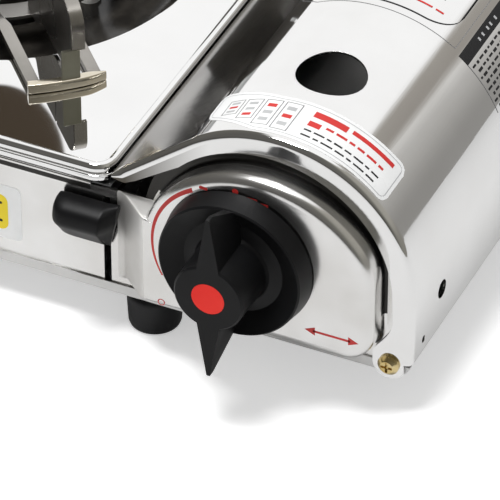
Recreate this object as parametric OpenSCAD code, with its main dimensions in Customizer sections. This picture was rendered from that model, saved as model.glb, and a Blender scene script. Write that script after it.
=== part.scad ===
// Butane cassette stove: a pressed-steel case with a burner on the left and a
// cartridge bay under a hinged, arched lid on the right.
//
// Every sub-part is drawn in the corner frame and set down by place():
// X runs from the lid's right wall (0) to the left end (-body_w), Y runs back
// from the plane of the lid's front flange (0), Z runs up from the case's underside (0).

/* [Case] */
// Overall width
body_w = 345; // [335:1:350]
// Depth from the lid's front flange to its rear flange
lid_len = 250; // [248:1:252]
// Height of the case walls
wall_h = 49; // [49:0.5:50]
// Height of the base pan's upturned lip
lip_h = 4.5; // [4:0.5:5]
// Thickness of the pressed sheet
sheet_t = 0.8; // [0.7:0.1:0.9]

/* [Lid] */
// Radius of the lid's arch, outside
arch_r = 56; // [55.5:0.5:56.5]
// Height of the arch's centre
arch_z = 38; // [38:0.5:38.5]
// Radius of the flange's round inner edge
flange_r = 50; // [49.5:0.5:50.5]
// Width of the whole lid
lid_w = 122.9; // [122.5:0.1:123]
// Height of the lid's left edge
lid_edge_z = 56.5; // [56.5:0.1:57]
// Diameter of the inspection hole in the lid's crown
window_d = 27; // [24:1:28]

/* [Control face] */
// How far the control face stands out in front of the flange plane
boss_reach = 10; // [9.5:0.5:10]
// Radius of the control face's arched top
boss_r = 50.4; // [50:0.1:50.6]
// Knob axis, in from the right wall
knob_inset = 65.6; // [65:0.2:66]
// Knob axis, height
knob_z = 43.4; // [43:0.2:44]
// Knob skirt diameter at its back
knob_d = 60; // [58:1:60]
// How far the knob's hub stands out from the control face
knob_len = 27; // [26:1:28]

/* [Set lever] */
// Width of the slot that the lever runs in
slot_w = 3; // [2.8:0.1:3.2]
// Lever plate, in from the right wall
lever_inset = 125.7; // [125.5:0.1:126]
// Height of the lever's pivot
pivot_z = 14; // [14:0.5:14.5]

/* [Burner side] */
// Burner centre, in from the right wall
burner_inset = 234; // [233:1:235]
// Burner centre, back from the flange plane
burner_y = 125; // [124:1:126]
// Radius of the drip tray's sunk bowl
bowl_r = 84; // [82:1:85]
// Radius of the pan support's feet
trivet_r = 109; // [108:0.5:110]
// Height of the pan support's top
trivet_top = 89; // [86:1:92]

/* [Cartridge bay] */
// Cartridge axis, in from the right wall
bay_inset = 58; // [57:1:59]
// Cartridge axis, height
bay_z = 44; // [44:0.5:45]
// Radius of the cradles' round seats
seat_r = 34.6; // [34.4:0.1:35]

/* [Feet] */
// Height of the rubber feet
foot_h = 17; // [12:1:18]
// Radius of the rubber feet
foot_r = 11; // [9:0.5:12]

/* [Hidden] */
$fn = 96;

fit = 0.06;               // running clearance of a shaft in its bore
gap = 0.3;                // space left between sheets that pass each other
screw_head = 2.6;         // hinge screw head height
front_y = boss_reach + knob_len - (boss_reach + knob_len + lid_len + screw_head) / 2;

side_gap = 1.3;           // case wall to the lid's outside
corner_r = 5;             // rounded lower right corner, clear of the opening lid
case_y0 = 1.3;            // front face of the base pan's lip
case_y1 = lid_len - 1.3;  // rear face of the base pan's lip
panel_y = case_y0 + sheet_t;
rear_y = case_y1 - sheet_t;
left_x = -body_w;
top_flange = 6;           // width of the walls' turned-in top edges
case_h = 200;             // taller than anything cut by a case section

hinge_x = -9;               // axis that the lid turns on
hinge_z = 5;
hinge_tab_r = 6.7;
screw_r = 2;

arch_x = -arch_r;
edge_run = arch_x + lid_w;  // from the lid's left edge to the arch's centre
edge_rise = arch_z - lid_edge_z;
// slope of the flat flank
flank_a = atan2(edge_rise, edge_run) + asin(arch_r / norm([edge_run, edge_rise]));
arch_end_a = 90 + flank_a;
arch_steps = 60;
lid_wall_z = 6;
lid_t = 0.9;                // the lid's sheet

boss_x = -58;
boss_z = 30;
boss_right = -12.3;
boss_left = -104;
boss_low = 9;
boss_corner = 12;
shoulder_r = 28;            // right shoulder of the control face, between its arch and its side
shoulder_x = boss_right - shoulder_r;
shoulder_z = boss_z + sqrt(pow(boss_r - shoulder_r, 2) - pow(shoulder_x - boss_x, 2));
shoulder_a = atan2(shoulder_z - boss_z, shoulder_x - boss_x);
ramp_x = -119;
boss_steps = 4;
boss_round = 4;

partition_x = -132;
lead_z = 44;               // height at which the lead passes the partition
tray_x1 = -123.6;
tray_y0 = 0.4;
tray_y1 = lid_len - 0.8;
tray_low = 50.3;
tray_top = 58;
tray_floor = 54.5;
tray_corner = 9;
rim_w = 4.5;
bowl_floor = 36.5;
bowl_hole = 37;
trivet_turn = -2;         // the arms stand a little off the tray's diagonals

mix_z = 17;                // height of the jet and the mixing tube
mix_r = 7.5;
outlet = [-98, 28, mix_z];
mix_run = sqrt(pow(burner_inset + outlet[0], 2) + pow(burner_y - outlet[1], 2));
mix_a = atan2(burner_y - outlet[1], -burner_inset - outlet[0]);

lever_t = 1.6;
pivot_y = 82;
link_z = 36;              // height of the pin that links lever and carriage
carriage_x = -121;
pusher_y = 241;

valve_x = -92;
valve_y0 = 12;
valve_y1 = 38;
valve_screw_z = 10.2;
reg_x = -74;
reg_y = 21;
reg_z = 61;
reg_r = 15.5;
knob_back = -boss_reach - 0.7;
knob_front = -boss_reach - knob_len;
foot_y = 12;
foot_xs = [-111, -327];
foot_ys = [foot_y, lid_len - foot_y];

// ---- helpers ----

module place() translate([body_w / 2, front_y, foot_h]) children();

// extrudes a section drawn in X and Z along +Y, from y0
module along_y(y0, len) translate([0, y0 + len, 0]) rotate([90, 0, 0]) linear_extrude(len) children();

// extrudes a section drawn in Y and Z along +X, from x0
module along_x(x0, len) translate([x0, 0, 0]) rotate([90, 0, 90]) linear_extrude(len) children();

// points round an arc, from angle a0 to a1
function arc(centre, r, a0, a1, steps) = [for (i = [0:steps]) let (a = a0 + (a1 - a0) * i / steps)
    centre + r * [cos(a), sin(a)]];

module y_rod(x, y0, z, r, len) translate([x, y0, z]) rotate([-90, 0, 0]) cylinder(r = r, h = len);

module x_rod(x0, y, z, r, len) translate([x0, y, z]) rotate([0, 90, 0]) cylinder(r = r, h = len);

module block(low, high) translate(low) cube(high - low);

// skins a run of rings that each hold the same number of points
module tube(rings) {
    n = len(rings[0]);
    last = len(rings) - 1;
    polyhedron([for (ring = rings) each ring],
        concat([[for (k = [n - 1:-1:0]) k]],
               [for (i = [0:last - 1], k = [0:n - 1]) let (m = (k + 1) % n)
                   [i * n + k, i * n + m, (i + 1) * n + m, (i + 1) * n + k]],
               [[for (k = [0:n - 1]) last * n + k]]), convexity = 6);
}

module rounded_rect(x0, y0, x1, y1, r) {
    translate([x0 + r, y0]) square([x1 - x0 - 2 * r, y1 - y0]);
    translate([x0, y0 + r]) square([x1 - x0, y1 - y0 - 2 * r]);
    for (x = [x0 + r, x1 - r], y = [y0 + r, y1 - r]) translate([x, y]) circle(r);
}

// the case's section across its width, shrunk by inset
module case_section(inset) {
    right = -side_gap;
    translate([left_x + inset, inset]) square([right - corner_r - left_x - inset, case_h]);
    translate([right - corner_r, corner_r]) circle(corner_r - inset);
    translate([right - corner_r - 1, corner_r]) square([corner_r + 1 - inset, case_h]);
}

// a pan-head screw along +Y whose head stands in front of y
module pan_screw(x, y, z, r, len, head_r, head_h) {
    difference() {
        union() {
            y_rod(x, y, z, r, len);
            translate([x, y, z]) rotate([90, 0, 0]) {
                cylinder(r = head_r, h = head_h * 0.4);
                translate([0, 0, head_h * 0.4]) cylinder(r1 = head_r, r2 = head_r * 0.62, h = head_h * 0.6);
            }
        }
        for (a = [0, 90]) translate([x, y - head_h, z]) rotate([0, a, 0])
            cube([head_r * 1.1, head_h * 0.9, head_r * 0.24], center = true);
    }
}

// ---- case ----

module base_pan() color("silver") place() difference() {
    along_y(case_y0, case_y1 - case_y0) intersection() {
        case_section(0);
        translate([left_x, 0]) square([body_w, lip_h]);
    }
    along_y(panel_y, rear_y - panel_y) case_section(sheet_t);
    for (x = foot_xs, y = foot_ys) translate([x, y, -1]) cylinder(r = screw_r + fit, h = 4);
    for (i = [-3:3]) block([-burner_inset + i * 14 - 3, burner_y - 70, -1],
                           [-burner_inset + i * 14 + 3, burner_y - 45, 3]);
    for (y = [case_y0 - 1, rear_y - 1]) y_rod(hinge_x, y, hinge_z, screw_r + fit, 4);
}

// outline of an end wall: straight on the burner side, arched under the lid
module end_wall() intersection() {
    case_section(sheet_t);
    union() {
        translate([left_x, 0]) square([body_w, wall_h]);
        intersection() {
            translate([arch_x, arch_z]) circle(arch_r - lid_t - 0.7, $fn = 160);
            translate([-body_w, arch_z]) square([body_w, arch_r]);
        }
    }
}

module body_shell() color("silver") place() {
    difference() {
        union() {
            along_y(rear_y - sheet_t, sheet_t) end_wall();
            block([left_x + sheet_t, panel_y + sheet_t, sheet_t],
                  [left_x + 2 * sheet_t, rear_y - sheet_t, wall_h]);
            block([-side_gap - 2 * sheet_t, panel_y + sheet_t, corner_r],
                  [-side_gap - sheet_t, rear_y - sheet_t, 22]);
            block([left_x + 2 * sheet_t, panel_y + sheet_t, wall_h - sheet_t],
                  [left_x + 2 * sheet_t + top_flange, rear_y - sheet_t, wall_h]);
            block([left_x + 2 * sheet_t, rear_y - sheet_t - top_flange, wall_h - sheet_t],
                  [partition_x - gap, rear_y - sheet_t, wall_h]);
        }
        for (y = [65, 185]) x_rod(left_x - 1, y, 42, 1.5 + fit, 4);
        for (x = [-300, -180]) y_rod(x, rear_y - 3, 42, 1.5 + fit, 6);
        for (y = [60, 180]) block([left_x + 2 * sheet_t - 0.01, y - 1, wall_h - 3],
                                  [left_x + 3 * sheet_t + 0.2, y + 11, wall_h + 1]);
        for (x = [-305, -185]) block([x - 1, rear_y - 2 * sheet_t - 0.2, wall_h - 3],
                                     [x + 11, rear_y - sheet_t + 0.01, wall_h + 1]);
        y_rod(hinge_x, rear_y - 3, hinge_z, screw_r + fit, 6);
        for (i = [0:5]) block([-200 - 12 * i, rear_y - 3, 12], [-196 - 12 * i, rear_y + 3, 34]);
    }
}

// outline of the control face, shrunk by inset: foot corner, right shoulder and arched top
module boss_outline(inset) {
    top_r = boss_r - inset;
    top_a = acos(max(-1, (boss_left - boss_x) / top_r));
    polygon(concat(
        [[boss_left, boss_low + inset]],
        arc([boss_right - boss_corner, boss_low + boss_corner], boss_corner - inset, -90, 0, 16),
        arc([shoulder_x, shoulder_z], shoulder_r - inset, 0, shoulder_a, 16),
        arc([boss_x, boss_z], top_r, shoulder_a, top_a, 60)));
}

// the control face as a solid: arched block with a stepped round edge and a ramp at its left
module boss_solid(inset, back) {
    for (i = [0:boss_steps]) {
        a = 90 * i / boss_steps;
        y = -boss_reach + inset + boss_round * (1 - sin(a));
        along_y(y, back - y) boss_outline(inset + boss_round * (1 - cos(a)));
    }
    translate([0, 0, boss_low + inset]) linear_extrude(wall_h - boss_low - 2 * inset)
        polygon([[boss_left + 4, -boss_reach + inset], [boss_left - 1, -boss_reach + inset],
                 [ramp_x + inset, panel_y + inset], [ramp_x + inset, back], [boss_left + 4, back]]);
}

module front_panel() color("silver") place() difference() {
    union() {
        along_y(panel_y, sheet_t) end_wall();
        boss_solid(0, panel_y + sheet_t);
        block([left_x + 2 * sheet_t + top_flange + gap, panel_y + sheet_t, wall_h - sheet_t],
              [partition_x - gap, panel_y + sheet_t + top_flange, wall_h]);
    }
    boss_solid(sheet_t, panel_y + 1 + sheet_t);
    y_rod(-knob_inset, -boss_reach - 1, knob_z, 7, 4);
    for (z = [-valve_screw_z, valve_screw_z]) y_rod(-knob_inset, -boss_reach - 1, knob_z + z, 1.5 + fit, 4);
    block([-lever_inset - slot_w / 2, panel_y - 1, 2.2], [-lever_inset + slot_w / 2, panel_y + 2, 44]);
    block([-lever_inset, panel_y - 1, 1.4], [-lever_inset + slot_w, panel_y + 2, 3.4]);
    y_rod(hinge_x, panel_y - 1, hinge_z, screw_r + fit, 4);
}

module partition() color("gainsboro") place() difference() {
    union() {
        block([partition_x, panel_y + sheet_t, sheet_t], [partition_x + sheet_t, rear_y - sheet_t, wall_h]);
        block([partition_x - 10, panel_y + 10, sheet_t], [partition_x, rear_y - 10, 2 * sheet_t]);
        block([partition_x + sheet_t, panel_y + sheet_t, wall_h - sheet_t],
              [-124.2, rear_y - sheet_t, wall_h]);
    }
    translate(outlet) rotate([0, 0, mix_a]) rotate([0, 90, 0]) cylinder(r = mix_r + 1.5, h = 80);
    x_rod(partition_x - 1, pivot_y, pivot_z, 2.5, 4);
    x_rod(partition_x - 1, 45, lead_z, 2, 4);
    for (y = [30, 215]) translate([partition_x - 5, y, 0]) cylinder(r = 1.5, h = 4);
}

module panel_rivets() color("gray") place() for (y = [30, 215]) translate([partition_x - 5, y, sheet_t]) {
    cylinder(r = 1.5, h = sheet_t);
    translate([0, 0, sheet_t]) cylinder(r = 2.8, h = 1);
}

// ---- burner side ----

function bowl_point(t) = [bowl_hole + (bowl_r - bowl_hole) * t,
                          bowl_floor + (tray_floor - bowl_floor) * (1 - sqrt(max(0, 1 - pow(t, 3.2))))];

module drip_tray() color("gainsboro") place() {
    x0 = left_x + 0.5;
    steps = 12;
    top = [for (i = [0:steps]) bowl_point(i / steps * 0.995)];
    difference() {
        translate([0, 0, tray_low]) linear_extrude(tray_top - tray_low)
            rounded_rect(x0, tray_y0, tray_x1, tray_y1, tray_corner);
        translate([0, 0, tray_low - 1]) linear_extrude(tray_floor - sheet_t - tray_low + 1)
            rounded_rect(x0 + sheet_t, tray_y0 + sheet_t, tray_x1 - sheet_t, tray_y1 - sheet_t,
                         tray_corner - sheet_t);
        translate([0, 0, tray_floor - sheet_t - 0.01]) linear_extrude(tray_top - tray_floor + 0.01)
            difference() {
                rounded_rect(x0 + sheet_t, tray_y0 + sheet_t, tray_x1 - sheet_t, tray_y1 - sheet_t,
                             tray_corner - sheet_t);
                rounded_rect(x0 + rim_w - sheet_t, tray_y0 + rim_w - sheet_t, tray_x1 - rim_w + sheet_t,
                             tray_y1 - rim_w + sheet_t, tray_corner - rim_w + sheet_t);
            }
        translate([0, 0, tray_floor]) linear_extrude(tray_top)
            rounded_rect(x0 + rim_w, tray_y0 + rim_w, tray_x1 - rim_w, tray_y1 - rim_w,
                         tray_corner - rim_w);
        translate([-burner_inset, burner_y, tray_low - 1]) cylinder(r = bowl_r - 0.5, h = 20, $fn = 160);
    }
    difference() {
        translate([-burner_inset, burner_y, 0]) rotate_extrude($fn = 160)
            polygon(concat(top, [[bowl_r, tray_floor], [bowl_r, tray_floor - sheet_t]],
                           [for (i = [steps:-1:0]) top[i] - [0, sheet_t]]));
        translate([-burner_inset + 40.5, burner_y, 20]) cylinder(r = 3.6, h = 25);
    }
    for (y = [60, 180]) difference() {
        block([left_x + 2 * sheet_t, y, 38], [left_x + 3 * sheet_t, y + 10, tray_top - 0.4]);
        x_rod(left_x, y + 5, 42, 1.5 + fit, 4);
    }
    for (x = [-305, -185]) difference() {
        block([x, rear_y - 2 * sheet_t, 38], [x + 10, rear_y - sheet_t, tray_top - 0.4]);
        y_rod(x + 5, rear_y - 3, 42, 1.5 + fit, 4);
    }
}

module tray_screws() color("silver") place() {
    for (y = [65, 185]) {
        x_rod(left_x, y, 42, 3.4, sheet_t);
        x_rod(left_x + sheet_t, y, 42, 1.5, 5);
    }
    for (x = [-300, -180]) {
        y_rod(x, rear_y, 42, 3.4, sheet_t);
        y_rod(x, rear_y - 5, 42, 1.5, 5);
    }
}

// one arm of the pan support, radially along +X from the burner's centre
module trivet_arm() {
    web_t = 1.5;
    low = tray_floor + 0.1;
    bar_w = 4.5;
    bar_h = 4.6;
    bar_from = -18;
    bar_to = 13;
    leg_w = 5.5;
    end = trivet_r - 2.2;
    shoulder = 9;
    // curved foot bar
    difference() {
        intersection() {
            translate([0, 0, low]) cylinder(r = trivet_r, h = bar_h, $fn = 160);
            block([60, bar_from, low], [trivet_r + 5, bar_to, low + bar_h]);
        }
        translate([0, 0, low - 1]) cylinder(r = trivet_r - bar_w, h = 10, $fn = 160);
    }
    // a leg from either end of the foot bar down to the ring
    for (y = [bar_from, bar_to - leg_w]) translate([0, y + leg_w, 0]) rotate([90, 0, 0])
        linear_extrude(leg_w) polygon([[end - 1.8, low + 0.5], [end - 1.8, low + 3.2], [66, low + 3.2],
                                       [47, 52.2], [47, 50.4], [64, low + 0.5]]);
    // upright web with its rounded shoulder and the slit in its top
    translate([0, web_t / 2, 0]) rotate([90, 0, 0]) linear_extrude(web_t) difference() {
        polygon(concat([[end, low + 2]], [for (a = [0:15:90])
                [end + 0.4 - shoulder + shoulder * cos(a), trivet_top - shoulder + shoulder * sin(a)]],
            [[60, trivet_top], [46, 62], [46, 50.5], [56, 50.5], [66, low + 2]]));
        translate([81.4, 72]) square([1.6, 30]);
    }
    // folded end: a wide tab below, a narrow strip above
    block([end - 0.6, -5, low + 1.5], [end + 1, 2.6, 72]);
    block([end - 0.5, -0.5, 71], [end + 0.9, 5, trivet_top - shoulder]);
    block([84, -0.5, trivet_top - 1.3], [end - shoulder, 5, trivet_top]);
}

module trivet() color("gray") place() translate([-burner_inset, burner_y, 0]) {
    for (a = [45:90:315]) rotate([0, 0, a + trivet_turn]) trivet_arm();
    difference() {
        translate([0, 0, 50]) cylinder(r = 52, h = 1.5, $fn = 160);
        translate([0, 0, 49]) cylinder(r = 43, h = 4, $fn = 160);
    }
}

module burner_bracket() color("silver") place() translate([-burner_inset, burner_y, 0]) {
    block([-32, -12, 6.5], [32, 12, 8]);
    for (s = [-1, 1]) {
        block([s * 31.25 - 0.75, -12, sheet_t + 1.2], [s * 31.25 + 0.75, 12, 6.5]);
        block([s * 36.5 - 6, -12, sheet_t], [s * 36.5 + 6, 12, sheet_t + 1.2]);
    }
}

module burner_base() color("lightgray") place() translate([-burner_inset, burner_y, 0]) difference() {
    rotate_extrude() polygon([[0, 8], [22, 8], [22, 34], [32, 42], [32, 47], [29, 47], [29, 43],
                              [19.5, 35], [19.5, 10.5], [0, 10.5]]);
    rotate([0, 0, mix_a + 180]) translate([10, 0, mix_z]) rotate([0, 90, 0])
        cylinder(r = mix_r + fit, h = 30);
}

module burner_cap() color("dimgray") place() translate([-burner_inset, burner_y, 0]) difference() {
    rotate_extrude() polygon([[28.9, 44], [28.9, 47.1], [34, 47.1], [35, 49], [35, 55], [32, 59],
                              [26, 61], [14, 61], [12, 58.5], [0, 58.5], [0, 55.5], [24, 55.5],
                              [26.4, 53], [26.4, 44]]);
    for (a = [0:12:348]) rotate([0, 0, a]) block([25, -0.8, 49.6], [37, 0.8, 52.6]);
}

module mix_axis() translate(outlet) rotate([0, 0, mix_a]) rotate([0, 90, 0]) children();

module mixing_tube() color("silver") place() mix_axis() difference() {
    union() {
        translate([0, 0, 10]) cylinder(r = mix_r, h = mix_run - 19.5 - 10.2);
        translate([0, 0, 10]) cylinder(r = mix_r + 1.2, h = 4);
    }
    translate([0, 0, 9]) cylinder(r = mix_r - 1, h = mix_run);
}

module air_collar() color("silver") place() mix_axis() difference() {
    union() {
        translate([0, 0, 6]) cylinder(r = mix_r + 1.2, h = 4);
        translate([0, 0, 0]) cylinder(r = 6, h = 7);
    }
    translate([0, 0, -1]) cylinder(r = 4.05, h = 12);
    translate([0, 0, 7]) cylinder(r = mix_r - 1, h = 4);
    for (a = [0, 90, 180, 270]) rotate([0, 0, a]) block([3.9, -1.5, 5.9], [6.9, 1.5, 8]);
}

module jet_nozzle() color("goldenrod") place() mix_axis() difference() {
    union() {
        translate([0, 0, -3]) cylinder(r = 4, h = 11);
        translate([0, 0, 8]) cylinder(r1 = 4, r2 = 2, h = 5);
    }
    translate([0, 0, 8]) cylinder(r = 0.5, h = 6);
}

// ---- gas valve and regulator ----

module valve_bracket() color("silver") place() difference() {
    y0 = -boss_reach + sheet_t;
    union() {
        block([-knob_inset - 10, y0, knob_z - 14], [-knob_inset + 10, y0 + 1.2, knob_z + 14]);
        for (s = [-1, 1]) block([-knob_inset - 10, y0, knob_z + s * 12.6 - 0.6],
                                [-knob_inset + 10, valve_y0, knob_z + s * 12.6 + 0.6]);
    }
    y_rod(-knob_inset, y0 - 1, knob_z, 4, 4);
    for (z = [-valve_screw_z, valve_screw_z]) y_rod(-knob_inset, y0 - 1, knob_z + z, 1.5, 4);
}

module valve_screws() color("silver") place() for (z = [-valve_screw_z, valve_screw_z])
    translate([-knob_inset, -boss_reach, knob_z + z]) rotate([-90, 0, 0]) {
        translate([0, 0, -0.6]) cylinder(r = 2.6, h = 0.6);
        cylinder(r = 1.5, h = sheet_t + 4);
    }

module valve_body() color("darkgray") place() difference() {
    union() {
        block([valve_x, valve_y0, 26], [-50, valve_y1 - 6, 58]);
        y_rod(-bay_inset, valve_y0 + 4, bay_z, 13.6, valve_y1 - valve_y0 - 4);
        block([-104, 20, 8.5], [-84, 36, 30]);
        translate([reg_x, reg_y, 57]) cylinder(r = reg_r, h = reg_z - 57);
    }
    y_rod(-knob_inset, valve_y0 - 1, knob_z, 3 + fit, 11);
    mix_axis() translate([0, 0, -3]) cylinder(r = 4 + 0.02, h = 40);
    mix_axis() cylinder(r = 16, h = 40);
    y_rod(-bay_inset, valve_y1 - 4, bay_z, 8, 5);
    translate([reg_x, reg_y, reg_z - 2.5]) cylinder(r = 9, h = 5);
}

// one of the three places of the regulator's screws
module reg_spots() for (a = [30, 150, 270]) translate([reg_x, reg_y, 0]) rotate([0, 0, a])
    translate([13.2, 0, 0]) children();

module regulator_diaphragm() color("brown") place() difference() {
    translate([reg_x, reg_y, reg_z]) cylinder(r = reg_r, h = 0.8);
    reg_spots() translate([0, 0, reg_z - 1]) cylinder(r = 1.05, h = 5);
}

module regulator_cover() color("silver") place() difference() {
    translate([reg_x, reg_y, reg_z + 0.8]) rotate_extrude()
        polygon([[0, 9], [5, 9], [7.5, 7.5], [10.5, 1.6], [reg_r, 1.6],
                 [reg_r, 0], [9.5, 0], [6.8, 5.8], [0, 6.5]]);
    reg_spots() translate([0, 0, reg_z - 1]) cylinder(r = 1.05, h = 5);
}

module regulator_screws() color("silver") place() reg_spots() {
    translate([0, 0, reg_z + 2.4]) cylinder(r = 1.9, h = 1.2);
    translate([0, 0, reg_z]) cylinder(r = 1, h = 2.5);
}

module inlet_socket() color("goldenrod") place() difference() {
    union() {
        y_rod(-bay_inset, valve_y1 - 4, bay_z, 7.98, 4);
        y_rod(-bay_inset, valve_y1 - 1, bay_z, 6.5, 9);
    }
    y_rod(-bay_inset, valve_y1 + 2, bay_z, 2.6, 7);
    y_rod(-bay_inset, valve_y1, bay_z, 3.8, 2.01);
    y_rod(-bay_inset, valve_y1 - 5, bay_z, 1, 8);
}

module inlet_seal() color("black") place() difference() {
    y_rod(-bay_inset, valve_y1, bay_z, 3.8, 2);
    y_rod(-bay_inset, valve_y1 - 1, bay_z, 1.8, 4);
}

module cartridge_guide() color("gainsboro") place() {
    y0 = valve_y1;
    difference() {
        union() {
            block([-bay_inset - 26, y0, bay_z - 24], [-bay_inset + 26, y0 + 1.2, bay_z + 24]);
            block([-bay_inset - 20, y0, sheet_t], [-bay_inset + 20, y0 + 1.2, bay_z]);
            block([-bay_inset - 20, y0, sheet_t], [-bay_inset + 20, y0 + 12, sheet_t + 1.2]);
        }
        y_rod(-bay_inset, y0 - 1, bay_z, 6.6, 4);
    }
    block([-bay_inset - 3, y0 + 1.2, bay_z + 16], [-bay_inset + 3, y0 + 7, bay_z + 17.2]);
}

module cartridge_saddles() color("gainsboro") place() for (y = [95, 195]) {
    along_y(y, 1.2) difference() {
        translate([-bay_inset - 32, sheet_t]) square([64, 24]);
        translate([-bay_inset, bay_z]) circle(seat_r);
    }
    block([-bay_inset - 30, y + 1.2, sheet_t], [-bay_inset + 30, y + 10, sheet_t + 1.2]);
}

// ---- knob group ----

module valve_spindle() color("goldenrod") place() difference() {
    y_rod(-knob_inset, knob_front + 4, knob_z, 3, valve_y0 + 8 - knob_front - 4);
    block([-knob_inset - 4, knob_front + 3, knob_z + 2], [-knob_inset + 4, knob_front + 16, knob_z + 5]);
}

module spindle_clip() color("gray") place() difference() {
    y_rod(-knob_inset, -boss_reach - 2.4, knob_z, 5.4, 0.6);
    y_rod(-knob_inset, -boss_reach - 3, knob_z, 3, 2);
}

module igniter_cam() color("ivory") place() difference() {
    union() {
        y_rod(-knob_inset, -3, knob_z, 8, 6);
        block([-knob_inset - 3, -3, knob_z], [-knob_inset + 3, 3, knob_z + 11.4]);
    }
    y_rod(-knob_inset, -4, knob_z, 3, 8);
}

module knob_blade(side) {
    tip = 36;
    intersection() {
        along_y(knob_front, knob_len + 4) polygon([[-4.6, side * 12], [4.6, side * 12],
            [0.7, side * tip], [-0.7, side * tip]]);
        along_x(-6, 12) polygon([[knob_front, side * 8], [knob_front, side * tip],
            [knob_front + 3, side * tip], [-boss_reach - 9, side * 28], [-boss_reach - 5, side * 24],
            [-boss_reach - 5, side * 8]]);
    }
}

module knob() color("#1c1c1c") place() {
    r = knob_d / 2;
    hub_r = 14.2;
    depth = -knob_front - boss_reach;
    difference() {
        union() {
            translate([-knob_inset, -boss_reach, knob_z]) rotate([90, 0, 0]) rotate_extrude($fn = 128)
                polygon([[r, 0.7], [r - 1.3, 8.8], [r - 2, 9.4], [r - 3, 8.8], [20, 5.2], [hub_r + 1, 6.4],
                         [hub_r, 8], [hub_r - 0.2, depth - 0.8], [hub_r - 1, depth], [0, depth],
                         [0, 4], [r - 6, 3.4], [r - 3.4, 2.4], [r - 2.6, 0.7]]);
            translate([-knob_inset, 0, knob_z]) {
                knob_blade(1);
                knob_blade(-1);
            }
        }
        difference() {
            y_rod(-knob_inset, knob_front + 3.9, knob_z, 3.02, knob_len);
            block([-knob_inset - 4, knob_front + 2, knob_z + 2.02],
                  [-knob_inset + 4, knob_front + 16, knob_z + 5]);
        }
        y_rod(-knob_inset, knob_front - 1, knob_z, 6.7, 1.8);
    }
}

module knob_inlay() color("#d03a30") place() y_rod(-knob_inset, knob_front, knob_z, 6.6, 0.8);

// ---- ignition ----

module piezo_igniter() color("#f2efe6") place() {
    block([-95, -7, 37], [-82, valve_y0, 50]);
    block([-82, -2, knob_z - 2], [-77.6, 2, knob_z + 2]);
}

lead_route = [[-95, 5, 43.5], [-98, 6, lead_z], [-104, 12, lead_z], [-113, 30, lead_z], [-124, 43, lead_z],
              [-134, 47, lead_z], [-145, 66, 41], [-153, 90, 34], [-172, 112, 26], [-188, 122, 21],
              [-193, 125, 23], [-193.5, 125, 27], [-193.5, 125, 30]];
lead_r = 1;
lead_sides = 8;

function unit(v) = v / norm(v);
// direction of the lead at point i of its route
function lead_dir(i) = unit(lead_route[min(i + 1, len(lead_route) - 1)] - lead_route[max(i - 1, 0)]);
function lead_ring(i) = let (d = lead_dir(i), u = unit(cross(d, [0.13, 0.21, 1])), v = cross(d, u))
    [for (k = [0:lead_sides - 1]) lead_route[i] + lead_r * (u * cos(360 * k / lead_sides)
        + v * sin(360 * k / lead_sides))];

module ignition_lead() color("white") place() tube([for (i = [0:len(lead_route) - 1]) lead_ring(i)]);

module electrode_insulator() color("white") place() translate([-burner_inset + 40.5, burner_y, 0]) {
    translate([0, 0, 30]) cylinder(r = 3.3, h = 19);
    translate([0, 0, bowl_floor + 0.1]) cylinder(r = 4.6, h = 2);
}

module electrode_pin() color("gray") place() translate([-burner_inset + 40.5, burner_y, 49]) {
    cylinder(r = 0.8, h = 4);
    translate([0, 0, 4]) sphere(r = 0.8);
    translate([0, 0, 4]) rotate([0, -50, 0]) cylinder(r = 0.8, h = 4);
}

// ---- set lever and cartridge carriage ----

module set_lever() color("silver") place() difference() {
    along_x(-lever_inset - lever_t / 2, lever_t) polygon([[-1.5, 25], [-7, 32], [-7, 37], [3, 37],
        [12, 40], [90, 40], [90, 10], [82, 7], [74, 9], [68, 30], [64, 33.5], [33, 33.5], [12, 25]]);
    x_rod(-lever_inset - 2, pivot_y, pivot_z, 2.5 + fit, 4);
    block([-lever_inset - 2, pivot_y - 2.5, link_z - 5], [-lever_inset + 2, pivot_y + 2.5, link_z + 6]);
}

module lever_cap() color("#1c1c1c") place() difference() {
    cap_left = -144;
    cap_right = -119.5;
    intersection() {
        along_x(cap_left, cap_right - cap_left) polygon([[1.2, 21], [1.2, 43.2], [-5.5, 43.2], [-9, 41.5],
            [-10.5, 38], [-9.8, 35]]);
        translate([0, 0, 15]) linear_extrude(40)
            polygon([[cap_left, 2], [cap_left, -8], [cap_left + 2, -11],
                     [-123.5, -11], [cap_right, -3], [cap_right, 2]]);
    }
    block([-lever_inset - lever_t / 2 - 0.02, -7.02, 24.98], [-lever_inset + lever_t / 2 + 0.02, 2, 37.02]);
}

module lever_pivot_pin() color("gray") place() {
    x_rod(partition_x, pivot_y, pivot_z, 2.5, 9.8);
    x_rod(partition_x + sheet_t, pivot_y, pivot_z, 4, 4);
}

module lever_clip() color("gray") place() difference() {
    x_rod(-lever_inset + lever_t / 2 + 0.3, pivot_y, pivot_z, 5, 0.8);
    x_rod(-lever_inset, pivot_y, pivot_z, 2.5, 4);
}

module cartridge_carriage() color("silver") place() {
    block([carriage_x, 74, 29], [carriage_x + 1.4, pusher_y + 1.4, 39]);
    block([carriage_x + 1.4, pusher_y, 29], [-bay_inset + 22, pusher_y + 1.4, 39]);
    block([-bay_inset - 22, pusher_y, 22], [-bay_inset + 22, pusher_y + 1.4, 60]);
    x_rod(-lever_inset - 1.6, pivot_y, link_z, 2, carriage_x + lever_inset + 1.6);
    block([spring_x - 1, spring_y - 2, spring_z - 0.6], [carriage_x, spring_y - wire_r, spring_z + 0.6]);
}

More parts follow.
